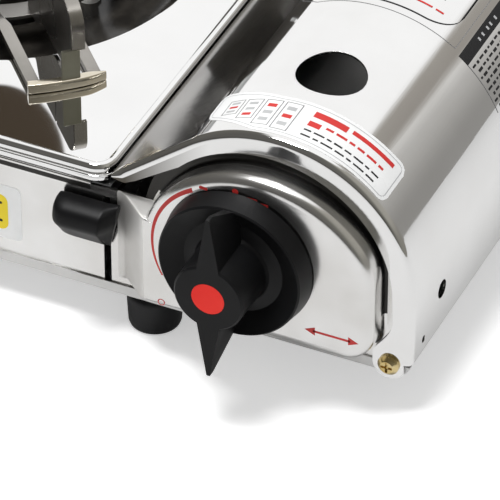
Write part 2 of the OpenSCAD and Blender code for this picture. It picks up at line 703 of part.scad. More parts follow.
module carriage_guides() color("gainsboro") place() {
    x0 = partition_x + sheet_t;
    for (y = [110, 205]) {
        block([x0, y, 27.4], [x0 + 1.2, y + 8, 40.6]);
        for (z = [27.4, 39.4]) block([x0, y, z], [carriage_x + 3, y + 8, z + 1.2]);
        for (x = [carriage_x - 1.6, carriage_x + 1.8], z = [28.6, 37])
            block([x, y, z], [x + 1.2, y + 8, z + 2.4]);
    }
    block([x0, spring_y + spring_len + gap, spring_z - 0.6],
          [spring_x + 1, spring_y + spring_len + gap + 2, spring_z + 0.6]);
}

// a close-wound extension spring along Y, as one swept polyhedron
spring_turns = 9;
spring_sides = 6;
spring_steps = 12;
spring_r = 2.6;
wire_r = 0.45;
spring_x = -126;
spring_y = 150;
spring_z = 34;
spring_len = 30;
function spring_ring(i) = let (a = 360 * i / spring_steps,
                               y = spring_y + spring_len * i / (spring_turns * spring_steps))
    [for (k = [0:spring_sides - 1]) let (b = 360 * k / spring_sides, r = spring_r + wire_r * cos(b))
        [spring_x + r * cos(a), y + wire_r * sin(b), spring_z + r * sin(a)]];

module carriage_spring() color("silver") place()
    tube([for (i = [0:spring_turns * spring_steps]) spring_ring(i)]);

// ---- lid ----

// points of the lid's arch, set in by inset
function arch_points(inset) = [for (i = [0:arch_steps]) let (a = i * arch_end_a / arch_steps)
    [arch_x, arch_z] + (arch_r - inset) * [cos(a), sin(a)]];

// everything under the lid's outer face, with the hinge tab
module lid_outside() {
    polygon(concat([[0, lid_wall_z]], arch_points(0), [[-lid_w, lid_edge_z], [-lid_w, lid_wall_z]]));
    translate([hinge_x, hinge_z]) circle(hinge_tab_r);
}

// everything under the lid's inner face
module lid_inside() {
    past = 8;
    edge = [-lid_w, lid_edge_z] + lid_t * [sin(flank_a), -cos(flank_a)]
         - past * [cos(flank_a), sin(flank_a)];
    polygon(concat([[-lid_t, -20]], arch_points(lid_t), [edge, [edge[0], -20]]));
}

// the opening that the flange at either end leaves
module flange_opening() {
    flange_x = -58;
    flange_z = 36.2;
    tail_a = 137.7;
    polygon(concat([[-8, 14], [-8, flange_z]],
        [for (i = [1:48]) [flange_x, flange_z] + flange_r * [cos(i * tail_a / 48), sin(i * tail_a / 48)]],
        [[-112.7, 57], [-116.8, 54.8], [-119.7, 54.8],
         [-120.5, lid_edge_z - 1.2], [-lid_w - 5, lid_edge_z - 1.2],
         [-lid_w - 5, -20], [hinge_x - hinge_tab_r, -20], [hinge_x - hinge_tab_r, 10]]));
}

module lid() color("gainsboro") place() difference() {
    along_y(0, lid_len) lid_outside();
    along_y(lid_t, lid_len - 2 * lid_t) lid_inside();
    along_y(-1, lid_len + 2) flange_opening();
    y_rod(hinge_x, -1, hinge_z, screw_r + fit, lid_len + 2);
    translate([-54, 46.6, 60]) cylinder(r = window_d / 2, h = 60);
    x_rod(-3, 28.4, 23, 3.75, 6);
    x_rod(-3, 11.6, 11.4, 1.5, 6);
}

module hinge_screws() color("goldenrod") place() {
    pan_screw(hinge_x, -0.1, hinge_z, screw_r, 8, 4.2, screw_head - 0.1);
    y_rod(hinge_x, lid_t + 0.1, hinge_z, 3, case_y0 - lid_t - 0.1);
    translate([0, lid_len, 0]) mirror([0, 1, 0]) {
        pan_screw(hinge_x, -0.1, hinge_z, screw_r, 8, 4.2, screw_head - 0.1);
        y_rod(hinge_x, lid_t + 0.1, hinge_z, 3, case_y0 - lid_t - 0.1);
    }
}

// ---- feet ----

module rubber_feet() color("#202020") place() for (x = foot_xs, y = foot_ys) translate([x, y, -foot_h])
    difference() {
        rotate_extrude() polygon([[0, 0], [foot_r - 2.2, 0], [foot_r - 1.2, 0.5], [foot_r - 0.7, 1.8],
                                  [foot_r, foot_h], [0, foot_h]]);
        translate([0, 0, 6]) cylinder(r = screw_r + fit, h = foot_h);
    }

module foot_screws() color("silver") place() for (x = foot_xs, y = foot_ys) translate([x, y, 0]) {
    translate([0, 0, -8]) cylinder(r = screw_r, h = 8 + sheet_t);
    translate([0, 0, sheet_t]) cylinder(r = 3.8, h = 1.6);
}

base_pan();
body_shell();
front_panel();
partition();
panel_rivets();
drip_tray();
tray_screws();
trivet();
burner_bracket();
burner_base();
burner_cap();
mixing_tube();
air_collar();
jet_nozzle();
valve_bracket();
valve_screws();
valve_body();
regulator_diaphragm();
regulator_cover();
regulator_screws();
inlet_socket();
inlet_seal();
cartridge_guide();
cartridge_saddles();
valve_spindle();
spindle_clip();
igniter_cam();
knob();
knob_inlay();
piezo_igniter();
ignition_lead();
electrode_insulator();
electrode_pin();
set_lever();
lever_cap();
lever_pivot_pin();
lever_clip();
cartridge_carriage();
carriage_guides();
carriage_spring();
lid();
hinge_screws();
rubber_feet();
foot_screws();
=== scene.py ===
from math import atan2, cos, degrees, hypot, pi, radians, sin, sqrt

import bmesh
import bpy
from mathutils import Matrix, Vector
from mathutils.geometry import tessellate_polygon


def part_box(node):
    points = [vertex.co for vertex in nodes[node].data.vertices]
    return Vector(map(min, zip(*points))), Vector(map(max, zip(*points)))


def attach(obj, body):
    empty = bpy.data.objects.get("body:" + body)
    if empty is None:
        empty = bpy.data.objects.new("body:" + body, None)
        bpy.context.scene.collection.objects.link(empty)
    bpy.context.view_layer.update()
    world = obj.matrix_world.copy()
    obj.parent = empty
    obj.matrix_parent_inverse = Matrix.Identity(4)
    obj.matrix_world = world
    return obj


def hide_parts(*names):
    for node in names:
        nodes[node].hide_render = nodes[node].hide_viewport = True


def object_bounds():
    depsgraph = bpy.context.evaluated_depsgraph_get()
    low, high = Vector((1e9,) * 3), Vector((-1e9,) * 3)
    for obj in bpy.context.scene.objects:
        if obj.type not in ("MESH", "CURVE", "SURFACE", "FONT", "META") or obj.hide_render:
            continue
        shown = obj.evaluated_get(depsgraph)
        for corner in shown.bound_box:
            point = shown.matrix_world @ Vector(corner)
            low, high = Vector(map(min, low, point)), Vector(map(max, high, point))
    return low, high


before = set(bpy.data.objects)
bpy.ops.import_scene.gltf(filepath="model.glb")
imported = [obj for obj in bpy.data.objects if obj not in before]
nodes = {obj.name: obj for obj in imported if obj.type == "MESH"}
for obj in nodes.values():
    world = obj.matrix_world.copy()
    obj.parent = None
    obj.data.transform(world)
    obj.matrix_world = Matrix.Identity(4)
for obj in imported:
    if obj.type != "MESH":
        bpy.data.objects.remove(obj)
cad_low, cad_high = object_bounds()

# The drawing frame of the part, in millimetres: X from the lid's right wall, Y back
# from the lid's front flange, Z up from the case's underside.
MM = 0.001
lid_low, lid_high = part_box("lid")
_, feet_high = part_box("rubber_feet")
CORNER = Vector((lid_high.x, lid_low.y, feet_high.z)) / MM
BODY_W = (cad_high.x - cad_low.x) / MM
LID_LEN = (lid_high.y - lid_low.y) / MM


def at(x, y, z):
    """A point of the drawing frame as a place in the scene, in metres."""
    return (Vector((x, y, z)) + CORNER) * MM


# ---- node materials ----

# Noise of a colour and of a roughness, as scale per metre and detail; depths of the relief in metres.
SHEET_NOISE, CAST_NOISE, MOULD_NOISE = ((28, 6), (16, 5)), ((160, 6), (90, 4)), ((60, 4), (45, 4))
WAVES, GRAIN, LUMPS = 9, 900, 900
WAVE_DEPTH, GRAIN_DEPTH, LUMP_DEPTH, MOULD_DEPTH = 0.002, 0.0002, 0.0003, 0.0001
FACTOR, FIRST, SECOND, MIXED = 0, 6, 7, 2  # sockets of a colour mix


def shader(name):
    """A new material, with its tree and its Principled BSDF."""
    material = bpy.data.materials.new(name)
    material.use_nodes = True
    return material, material.node_tree, material.node_tree.nodes["Principled BSDF"]


def add(tree, kind, **settings):
    """A new node; each setting is an input's value, the socket that feeds the input, or a property."""
    node = tree.nodes.new(kind)
    for key, value in settings.items():
        if key not in node.inputs.keys():
            setattr(node, key, value)
        elif isinstance(value, bpy.types.NodeSocket):
            tree.links.new(value, node.inputs[key])
        else:
            node.inputs[key].default_value = value
    return node


def noise(tree, scale, detail=3.0, stretch=(1, 1, 1)):
    """Noise over the object's own coordinates, in metres times scale."""
    coords = add(tree, "ShaderNodeTexCoord").outputs["Object"]
    place = add(tree, "ShaderNodeMapping", Vector=coords, Scale=stretch).outputs["Vector"]
    return add(tree, "ShaderNodeTexNoise", Vector=place, Scale=scale, Detail=detail).outputs["Fac"]


def spread(tree, value, low, high, from_low=0.3, from_high=0.7, kind="LINEAR"):
    """Maps a value to a range; the ends that it comes from suit a noise."""
    ends = {"From Min": from_low, "From Max": from_high, "To Min": low, "To Max": high}
    return add(tree, "ShaderNodeMapRange", interpolation_type=kind, Value=value, **ends).outputs["Result"]


def mix_colours(tree, factor, first, second, blend="MIX"):
    """A colour made from two; each of the three inputs is a socket or a fixed value."""
    mix = add(tree, "ShaderNodeMix", data_type="RGBA", blend_type=blend)
    for socket, value in ((FACTOR, factor), (FIRST, first), (SECOND, second)):
        if isinstance(value, (float, tuple)):
            mix.inputs[socket].default_value = value
        else:
            tree.links.new(value, mix.inputs[socket])
    return mix.outputs[MIXED]


def tint(tree, value, dark, light):
    """A colour between two, by a value from 0 to 1."""
    return mix_colours(tree, value, (*dark, 1), (*light, 1))


def bump(tree, bsdf, value, strength, distance, before=None):
    """Relief on a shader, over the relief before it if there is one."""
    node = add(tree, "ShaderNodeBump", Height=value, Strength=strength, Distance=distance)
    if before:
        tree.links.new(before, node.inputs["Normal"])
    tree.links.new(node.outputs["Normal"], bsdf.inputs["Normal"])
    return node.outputs["Normal"]


def surface(name, noises, dark, light, rough):
    """A new material whose colour and roughness wander between two values."""
    material, tree, bsdf = shader(name)
    clouds, patches = [noise(tree, *kind) for kind in noises]
    tree.links.new(tint(tree, spread(tree, clouds, 0, 1), dark, light), bsdf.inputs["Base Color"])
    tree.links.new(spread(tree, patches, *rough), bsdf.inputs["Roughness"])
    return material, tree, bsdf


def sheet_metal(name, dark, light, rough, wave=0.0, grain=0.0, grain_dir=(1, 1, 1)):
    """Rolled sheet: smudged colour, patchy roughness, slow waves and a fine rolling grain."""
    material, tree, bsdf = surface(name, SHEET_NOISE, dark, light, rough)
    bsdf.inputs["Metallic"].default_value = 1.0
    waves = bump(tree, bsdf, noise(tree, WAVES, 1.0), wave, WAVE_DEPTH) if wave else None
    if grain:
        bump(tree, bsdf, noise(tree, GRAIN, 2, grain_dir), grain, GRAIN_DEPTH, waves)
    return material


def paint_dark_left(material, dark, start, end):
    """Paints darkness onto a metal towards the left, from the place end to the place start along X, in
    metres; a painted dark reflection.
    """
    tree = material.node_tree
    base = tree.nodes["Principled BSDF"].inputs["Base Color"]
    colour = base.links[0].from_socket
    coords = add(tree, "ShaderNodeTexCoord").outputs["Object"]
    x = add(tree, "ShaderNodeSeparateXYZ", Vector=coords).outputs["X"]
    across = spread(tree, x, 0, 1, start, end)
    tree.links.new(mix_colours(tree, across, (*dark, 1), colour), base)
    return material


def cast_metal(name, dark, light, rough, metallic=1.0, lumps=0.3):
    """Cast, turned or enamelled metal, mottled and slightly lumpy."""
    material, tree, bsdf = surface(name, CAST_NOISE, dark, light, rough)
    bsdf.inputs["Metallic"].default_value = metallic
    bump(tree, bsdf, noise(tree, LUMPS, 4), lumps, LUMP_DEPTH)
    return material


def moulded(name, dark, light, rough, grain=0.15, size=1600, level=0.5):
    """Moulded plastic or rubber with a fine texture; level is the strength of its sheen."""
    material, tree, bsdf = surface(name, MOULD_NOISE, dark, light, rough)
    bsdf.inputs["Specular IOR Level"].default_value = level
    bump(tree, bsdf, noise(tree, size, 3), grain, MOULD_DEPTH)
    return material


STAINLESS = sheet_metal(
    "stainless_lid", (0.86, 0.855, 0.845), (0.92, 0.918, 0.912), (0.035, 0.085), 0.05, 0.04, (1, 0.05, 1))
LID_FRONT = sheet_metal(
    "lid_front_strip_painted_reflection", (0.86, 0.855, 0.845), (0.92, 0.918, 0.912), (0.05, 0.12), 0.08, 0.04, (1, 0.05, 1))
# Painted dark reflection: the lid's front strip is painted darker towards its left end.
LID_FRONT_PAINTED_REFLECTION = paint_dark_left(LID_FRONT, (0.10, 0.09, 0.075), at(-117, 0, 0).x, at(-82, 0, 0).x)
PANEL = sheet_metal(
    "stainless_panel", (0.72, 0.705, 0.68), (0.90, 0.895, 0.886), (0.13, 0.27), 0.10, 0.06, (0.05, 1, 1))
BRIGHT = sheet_metal("bright_tray", (0.90, 0.898, 0.892), (0.94, 0.938, 0.934), (0.005, 0.018), 0.04)
DULL = sheet_metal(
    "zinc_sheet", (0.26, 0.265, 0.265), (0.40, 0.405, 0.405), (0.30, 0.50), 0.1, 0.1, (1, 1, 0.1))
TRIVET = sheet_metal(
    "trivet_steel", (0.30, 0.285, 0.26), (0.46, 0.44, 0.41), (0.16, 0.34), 0.1, 0.12, (1, 1, 0.06))
BOWL = cast_metal("bowl_enamel", (0.010, 0.009, 0.008), (0.030, 0.027, 0.023), (0.10, 0.24), 0.0, 0.06)
SATIN = sheet_metal(
    "panel_satin", (0.74, 0.725, 0.70), (0.92, 0.915, 0.905), (0.48, 0.60), 0.10, 0.06, (0.05, 1, 1))
POLISHED = sheet_metal("trivet_foot", (0.70, 0.63, 0.50), (0.88, 0.83, 0.72), (0.10, 0.22), 0.1)
OLIVE = sheet_metal(
    "trivet_tab", (0.24, 0.235, 0.185), (0.38, 0.375, 0.31), (0.24, 0.40), 0.1, 0.14, (1, 1, 0.06))
WEB_STEEL = sheet_metal(
    "trivet_web", (0.19, 0.18, 0.17), (0.34, 0.33, 0.315), (0.24, 0.42), 0.12, 0.16, (1, 1, 0.05))
PAN = sheet_metal(
    "pan_sheet", (0.56, 0.555, 0.545), (0.70, 0.695, 0.685), (0.26, 0.42), 0.1, 0.1, (1, 1, 0.1))
# Painted dark reflection: the lid's flank is painted darker, with streaks.
FLANK_PAINTED_REFLECTION = sheet_metal(
    "lid_flank_painted_reflection", (0.20, 0.19, 0.18), (0.33, 0.32, 0.305), (0.08, 0.18), 0.08, 0.12, (0.2, 1, 0.2))
# Unpolished inside of the lid, darkened further as painted shade.
UNPOLISHED_AND_SHADED = sheet_metal(
    "lid_inside", (0.24, 0.24, 0.237), (0.34, 0.34, 0.336), (0.34, 0.5), 0.1, 0.1, (1, 0.05, 1))
# Painted shade: near-black steel for the shaded lever and the panel's groove and edges under the lid and
# tray.
SHADED = sheet_metal("panel_painted_shade", (0.035, 0.034, 0.032), (0.06, 0.058, 0.055), (0.35, 0.5), 0.05)
CAST = cast_metal("burner_iron", (0.05, 0.05, 0.052), (0.11, 0.11, 0.112), (0.45, 0.65), 0.6, 0.5)
DIECAST = cast_metal("die_cast", (0.16, 0.155, 0.15), (0.27, 0.265, 0.26), (0.35, 0.5))
BRASS = cast_metal("brass_turned", (0.60, 0.44, 0.20), (0.76, 0.60, 0.32), (0.20, 0.34), 1.0, 0.1)
YELLOW_ZINC = cast_metal("yellow_zinc", (0.60, 0.44, 0.16), (0.86, 0.74, 0.46), (0.14, 0.30), 1.0, 0.15)
STEEL = cast_metal("plated_steel", (0.50, 0.50, 0.51), (0.68, 0.68, 0.69), (0.22, 0.36), 1.0, 0.1)
BLACK = moulded("black_moulding", (0.0035, 0.0035, 0.004), (0.006, 0.006, 0.0065), (0.38, 0.5), level=0.2)
RUBBER = moulded(
    "black_rubber", (0.005, 0.005, 0.006), (0.010, 0.010, 0.011), (0.45, 0.62), 0.2, 1100, level=0.3)
RED = moulded("red_inlay", (0.84, 0.026, 0.018), (0.92, 0.040, 0.028), (0.34, 0.46), 0.05, level=0.15)
WHITE = moulded("white_moulding", (0.74, 0.73, 0.70), (0.84, 0.83, 0.80), (0.35, 0.5))
CERAMIC = moulded("glazed_ceramic", (0.78, 0.77, 0.73), (0.86, 0.85, 0.82), (0.10, 0.2), 0.05)

LOOKS = {
    STAINLESS: ["lid"],
    PANEL: ["front_panel", "body_shell"],
    PAN: ["base_pan"],
    BRIGHT: ["drip_tray"],
    DULL: ["partition", "panel_rivets", "burner_bracket", "mixing_tube", "air_collar", "valve_bracket",
           "cartridge_guide", "cartridge_saddles", "carriage_guides", "cartridge_carriage",
           "regulator_cover"],
    # the lever is painted with shade
    SHADED: ["set_lever"],
    TRIVET: ["trivet"],
    CAST: ["burner_cap"],
    DIECAST: ["burner_base", "valve_body"],
    BRASS: ["jet_nozzle", "inlet_socket", "valve_spindle"],
    YELLOW_ZINC: ["hinge_screws"],
    STEEL: ["tray_screws", "valve_screws", "regulator_screws", "foot_screws", "spindle_clip",
            "lever_clip", "lever_pivot_pin", "carriage_spring", "electrode_pin"],
    BLACK: ["knob", "lever_cap"],
    RUBBER: ["rubber_feet", "inlet_seal", "regulator_diaphragm"],
    RED: ["knob_inlay"],
    WHITE: ["igniter_cam", "piezo_igniter", "ignition_lead"],
    CERAMIC: ["electrode_insulator"],
}
for material, names in LOOKS.items():
    for name in names:
        mesh = nodes[name].data
        mesh.materials.clear()
        mesh.materials.append(material)

# ---- building sheets ----

SHEET = 0.8  # the case's sheet, mm
LID_SHEET = 0.9
WELD = 0.01  # how near the split corners of a CAD mesh lie, mm
SAME_POINT, SLIVER = 4e-6, 1e-6  # nearer corners are one, and shorter edges go, m


def placed(name, data):
    """A new object in the scene."""
    obj = bpy.data.objects.new(name, data)
    bpy.context.scene.collection.objects.link(obj)
    return obj


class Shape:
    """Points of the drawing frame and the faces between them, each with its material's index."""

    def __init__(self):
        self.points = []
        self.faces = []
        self.finishes = []
        self.finish = 0

    def skin(self, rows, closed=False):
        """Quads between neighbouring rows, which hold the same number of points."""
        count = len(rows[0])
        start = len(self.points)
        for row in rows:
            self.points += row
        for i in range(len(rows) - 1):
            for k in range(count if closed else count - 1):
                a, b = start + i * count + k, start + i * count + (k + 1) % count
                self.faces.append((a, b, b + count, a + count))
                self.finishes.append(self.finish)

    def fill(self, *loops):
        """Triangles inside the first flat loop and outside the others."""
        start = len(self.points)
        for loop in loops:
            self.points += loop
        for face in tessellate_polygon([[Vector(p) for p in loop] for loop in loops]):
            self.faces.append(tuple(start + i for i in face))
            self.finishes.append(self.finish)

    def cap(self, rows):
        """Fills the two ends of a skin."""
        self.fill(rows[0])
        self.fill(rows[-1])

    def piece(self, name, materials, body, facing, sheet=0.0, edge=0.0, crease=32, inner=0):
        """The shape as an object. The face furthest along facing looks that way; sheet is its thickness."""
        form = bmesh.new()
        corners = [form.verts.new(at(*p)) for p in self.points]
        for face, finish in zip(self.faces, self.finishes):
            form.faces.new([corners[i] for i in face]).material_index = finish
        bmesh.ops.remove_doubles(form, verts=form.verts, dist=SAME_POINT)
        bmesh.ops.dissolve_degenerate(form, edges=form.edges, dist=SLIVER)
        bmesh.ops.recalc_face_normals(form, faces=form.faces)
        form.normal_update()
        look = Vector(facing)
        outer = max(form.faces, key=lambda f: (round(f.calc_center_median().dot(look), 6), f.calc_area()))
        if outer.normal.dot(look) < 0:
            bmesh.ops.reverse_faces(form, faces=form.faces)
        mesh = bpy.data.meshes.new(name)
        form.to_mesh(mesh)
        form.free()
        obj = placed(name, mesh)
        finish_edges(obj, sheet, edge, crease, inner)
        for material in materials:
            mesh.materials.append(material)
        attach(obj, body)
        return obj


def round_edges(obj, width, angle):
    """Rounds the edges that are sharper than an angle."""
    bevel = obj.modifiers.new("edge", "BEVEL")
    bevel.width = width * MM
    bevel.segments = 2
    bevel.limit_method = "ANGLE"
    bevel.angle_limit = radians(angle)


def even_shading(obj):
    """Shades by the larger faces, and keeps sharp edges sharp."""
    even = obj.modifiers.new("even", "WEIGHTED_NORMAL")
    even.keep_sharp = True


def finish_edges(obj, sheet, edge, crease, inner):
    """Gives a mesh its sheet's thickness, rounded edges and clean shading.

    inner is how many materials further on the inside's material is.
    """
    mesh = obj.data
    mesh.shade_smooth()
    mesh.set_sharp_from_angle(angle=radians(crease))
    if sheet:
        thick = obj.modifiers.new("sheet", "SOLIDIFY")
        thick.thickness = sheet * MM
        thick.offset = -1
        thick.use_even_offset = False
        thick.material_offset = inner
    if edge:
        round_edges(obj, edge, crease + 8)
    even_shading(obj)


def dress(name, edge=0.0, crease=32):
    """Joins the split corners of a CAD node and rounds its edges, by modifiers alone."""
    obj = nodes[name]
    weld = obj.modifiers.new("weld", "WELD")
    weld.merge_threshold = WELD * MM
    for polygon in obj.data.polygons:
        polygon.use_smooth = True
    if edge:
        round_edges(obj, edge, crease)
    even_shading(obj)


def circle(x, z, r, count=48, start=0.0, end=360.0):
    """Points round a circle, without the last of a whole one."""
    whole = abs(end - start) >= 360
    last = count if whole else count - 1
    turns = [radians(start + (end - start) * i / last) for i in range(count)]
    return [(x + r * cos(t), z + r * sin(t)) for t in turns]


def rounding(size, steps=6):
    """Pairs (along, in) of a quarter-round edge, from the face's side to the wall's side."""
    turns = [pi / 2 * (1 - i / steps) for i in range(steps + 1)]
    return [(size * (1 - sin(t)), size * (1 - cos(t))) for t in turns]


def quarter(steps):
    """Angles of a quarter turn, in even steps."""
    return [pi / 2 * i / steps for i in range(steps + 1)]


def upright(y, outline):
    """An outline (x, z) as points of an upright plane at depth y."""
    return [(x, y, z) for x, z in outline]


# ---- lid ----

ARCH = (-56.0, 38.0)  # centre of the lid's arch
ARCH_R = 55.85  # a hair inside the solid, so that the labels stay within it
ARC_STEPS, LENGTH_STEPS = 100, 60
LID_EDGE = (-122.9, 56.5)  # left edge of the flat flank
LID_FOOT = 6.0  # lower edge of the right wall
LID_BEND = 3.0  # radius of the bends to the end flanges
EDGE_BEND, BEND_GROWTH = 0.9, 0.5  # that radius at the left edge, and its growth with the way in
FLANK_STEPS = 12
EDGE_STEPS = [5.2, 3.9, 2.6, 1.5, 0.7, 0.0]  # the last stations' way from the left edge
BEND_RUN = 4.0  # length at each end that the bends take
WINDOW = (-54.0, 46.6, 13.5)  # round hole in the crown: x, y and radius
WINDOW_MARGIN = 4.5  # from the hole's edge to the square round it, at the least
WINDOW_RINGS = (0, 0.12, 0.4, 0.7, 1)  # shares of the way out to that square
HINGE, SCREW_R = (-9.0, 5.0), 2.1  # hinge screw's place, and radius of its hole
WALL_HOLES = ((28.4, 23, 3.75, 32), (11.6, 11.4, 1.5, 20))  # y, z, radius and number of points
FLANGE_LEFT = [(-121.4, 55.3), (-120.5, 55.3), (-119.7, 54.8), (-116.8, 54.8), (-112.7, 57.0)]
FLANGE_ARC = (-58.4, 34.3, 50.2, 64, 136, 0)
FLANGE_RIGHT = [(-8.0, 27), (-7.9, 24), (-8.6, 20.8), (-10.4, 17.2), (-12.9, 13.6), (-15.2, 10.6),
                (-15.7, 9.6)]
TAB_ARC = (*HINGE, 6.7, 24, 180, 333)
CROWN, FLANK_SIDE, FRONT_STRIP = 0, 2, 4  # finishes, each followed by that of its inside; those of the flank and the front strip carry painted dark reflections

reach = hypot(ARCH[0] - LID_EDGE[0], ARCH[1] - LID_EDGE[1])
FLANK = atan2(ARCH[1] - LID_EDGE[1], ARCH[0] - LID_EDGE[0])
FLANK += atan2(ARCH_R, sqrt(reach ** 2 - ARCH_R ** 2))  # slope of the flank, which touches the arch


def lid_stations():
    """Round the lid's section from the right wall's foot: x, z, outward normal, radius of the end bends."""
    stations = [(ARCH[0] + ARCH_R, LID_FOOT, 1.0, 0.0, LID_BEND)]
    end = pi / 2 + FLANK
    for i in range(ARC_STEPS + 1):
        a = end * i / ARC_STEPS
        stations.append((ARCH[0] + ARCH_R * cos(a), ARCH[1] + ARCH_R * sin(a), cos(a), sin(a), LID_BEND))
    run = hypot(LID_EDGE[0] - stations[-1][0], LID_EDGE[1] - stations[-1][1])
    rests = [run * (1 - i / FLANK_STEPS) for i in range(1, FLANK_STEPS - 1)] + EDGE_STEPS
    for rest in sorted(set(rests), reverse=True):
        bend = min(LID_BEND, EDGE_BEND + rest * BEND_GROWTH)
        stations.append((LID_EDGE[0] + rest * cos(FLANK), LID_EDGE[1] + rest * sin(FLANK),
                         cos(end), sin(end), bend))
    return stations


def lid_window(shape, stations, ys):
    """Round hole in the crown: rings from the grid's square to the circle. Gives the square's sides."""
    cx, cy, r = WINDOW
    span = r + WINDOW_MARGIN
    cols = [i for i, station in enumerate(stations) if abs(station[0] - cx) < span]
    rows = [k for k, y in enumerate(ys) if abs(y - cy) < span]
    c0, c1, r0, r1 = cols[0], cols[-1], rows[0], rows[-1]
    border = ([(c, r0) for c in range(c0, c1)] + [(c1, k) for k in range(r0, r1)]
              + [(c, r1) for c in range(c1, c0, -1)] + [(c0, k) for k in range(r1, r0, -1)])
    square = [(stations[c][0], ys[k]) for c, k in border]
    rings = []
    for t in WINDOW_RINGS:
        ring = []
        for x, y in square:
            a = atan2(y - cy, x - cx)
            edge_x, edge_y = cx + r * cos(a), cy + r * sin(a)
            px, py = edge_x + (x - edge_x) * t, edge_y + (y - edge_y) * t
            ring.append((px, py, ARCH[1] + sqrt(ARCH_R ** 2 - (px - ARCH[0]) ** 2)))
        rings.append(ring)
    shape.skin(rings, closed=True)
    return c0, c1, r0, r1


def bend_rows(stations, mirror):
    """Rows of the bend to an end flange, from the flange inwards; mirror makes those of the rear end."""
    rows = []
    for along, inward in rounding(1.0):
        points = []
        for x, z, nx, nz, size in stations:
            y = LID_LEN - along * size if mirror else along * size
            points.append((x - nx * inward * size, y, z - nz * inward * size))
        rows.append(points)
    return rows


def make_lid():
    shape = Shape()
    stations = lid_stations()
    run = LID_LEN - 2 * BEND_RUN
    middle = [BEND_RUN + run * i / LENGTH_STEPS for i in range(LENGTH_STEPS + 1)]
    front, rear = bend_rows(stations, False), bend_rows(stations, True)
    for bends, y in ((front, middle[0]), (rear, middle[-1])):
        shape.skin(bends + [[(x, y, z) for x, z, *_ in stations]])
    c0, c1, r0, r1 = lid_window(shape, stations, middle)
    flank = 1 + ARC_STEPS
    for k in range(LENGTH_STEPS):
        for first, last in ((1, c0), (c1, flank)) if r0 <= k < r1 else ((1, flank),):
            part = stations[first:last + 1]
            shape.skin([[(s[0], y, s[1]) for s in part] for y in middle[k:k + 2]])
    # the flank is painted with a dark reflection
    shape.finish = FLANK_SIDE
    shape.skin([[(s[0], y, s[1]) for s in stations[flank:]] for y in middle])
    shape.finish = CROWN
    x = ARCH[0] + ARCH_R
    wall = [(x, y, ARCH[1]) for y in middle] + [(x, middle[-1], LID_FOOT), (x, middle[0], LID_FOOT)]
    shape.fill(wall, *[[(x, y, z) for y, z in circle(*hole)] for hole in WALL_HOLES])
    inner = FLANGE_LEFT + circle(*FLANGE_ARC) + FLANGE_RIGHT + circle(*TAB_ARC)
    for bends, y, finish in ((front, 0.0, FRONT_STRIP), (rear, LID_LEN, CROWN)):
        shape.finish = finish
        outer = [(px, y, pz) for px, _, pz in bends[0]]
        shape.fill(outer + upright(y, inner), upright(y, circle(*HINGE, SCREW_R, 20)))
    finishes = [STAINLESS, UNPOLISHED_AND_SHADED, FLANK_PAINTED_REFLECTION, UNPOLISHED_AND_SHADED, LID_FRONT_PAINTED_REFLECTION, UNPOLISHED_AND_SHADED]
    return shape.piece("lid_sheet", finishes, "lid", (0, 0, 1), LID_SHEET, 0.22, inner=1)


lid_sheet = make_lid()
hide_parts("lid")

# ---- front panel ----

PANEL_Y = 2.1  # front of the panel's sheet
FACE_Y = -10.0  # control face
WALL_H = 49.0
PANEL_LEFT, PANEL_RIGHT, PANEL_CORNER = -BODY_W + SHEET + 0.9, -2.1, 4.2
UNDER_LID_R = 54.4  # the panel's own arch under the lid
TOP_BEND, TOP_DEPTH = 1.0, 7.0  # radius of the bend along the panel's top, and the ledge behind it
BOSS = (-58.0, 30.0, 50.4)  # arch of the control face: centre and radius
BOSS_RIGHT, BOSS_LOW, BOSS_CORNER = -12.3, 9.0, 12.0
BOSS_ROUND = 4.0
BOSS_YS = (-4.6, -3.2, -1.8, -0.6)  # depths along the raised face's wall
SHOULDER_R = 28.0
FOOT_ROUND = 1.4  # fillet where the raised face meets the panel
RAMP_TOP, RAMP_FOOT = -105.0, -119.0
RAMP_ROUNDS = (9.0, 6.0)  # radii at the ramp's top and foot
KNOB, SPINDLE_R = (-65.6, 43.4), 7
LIP_END, LIP_LOW, LIP_TOP = -132.3, 45.4, WALL_H - 1.4  # band of painted shade along the panel's top under the tray
GROOVE_Y, GROOVE_LOW = -0.7, 26.0  # front and foot of the painted shade in the groove round the raised face
SLOT = (-127.2, -124.2, 2.2, 44.0)
SLOT_FOOT = (-125.7, -122.7, 1.4, 3.4)  # the slot's short step to the right at its foot
PLAIN, PAINTED_SHADE, SOFT = 0, 1, 2  # finishes; the second is painted shade


def ramp_x(y):
    """Left edge of the raised face at depth y: a slope with a round at its top and at its foot."""
    slope = (RAMP_FOOT - RAMP_TOP) / (PANEL_Y - FACE_Y)
    lean = atan2(1, -slope)  # from the panel's plane
    top, foot = RAMP_ROUNDS
    down, up = y - FACE_Y, PANEL_Y - y
    if down < top * (1 - cos(lean)):
        t = top * (1 - down / top)
        return RAMP_TOP + top * (sin(lean) / (1 + cos(lean))) - sqrt(max(0, top ** 2 - t ** 2))
    if up < foot * (1 - cos(lean)):
        t = foot * (1 - up / foot)
        return RAMP_FOOT - foot * (sin(lean) / (1 + cos(lean))) + sqrt(max(0, foot ** 2 - t ** 2))
    return RAMP_TOP + slope * down


def left_turn(r, height):
    """Where a circle comes down on its left to a height above its centre, in degrees."""
    return 180 - degrees(atan2(height, sqrt(r ** 2 - height ** 2)))


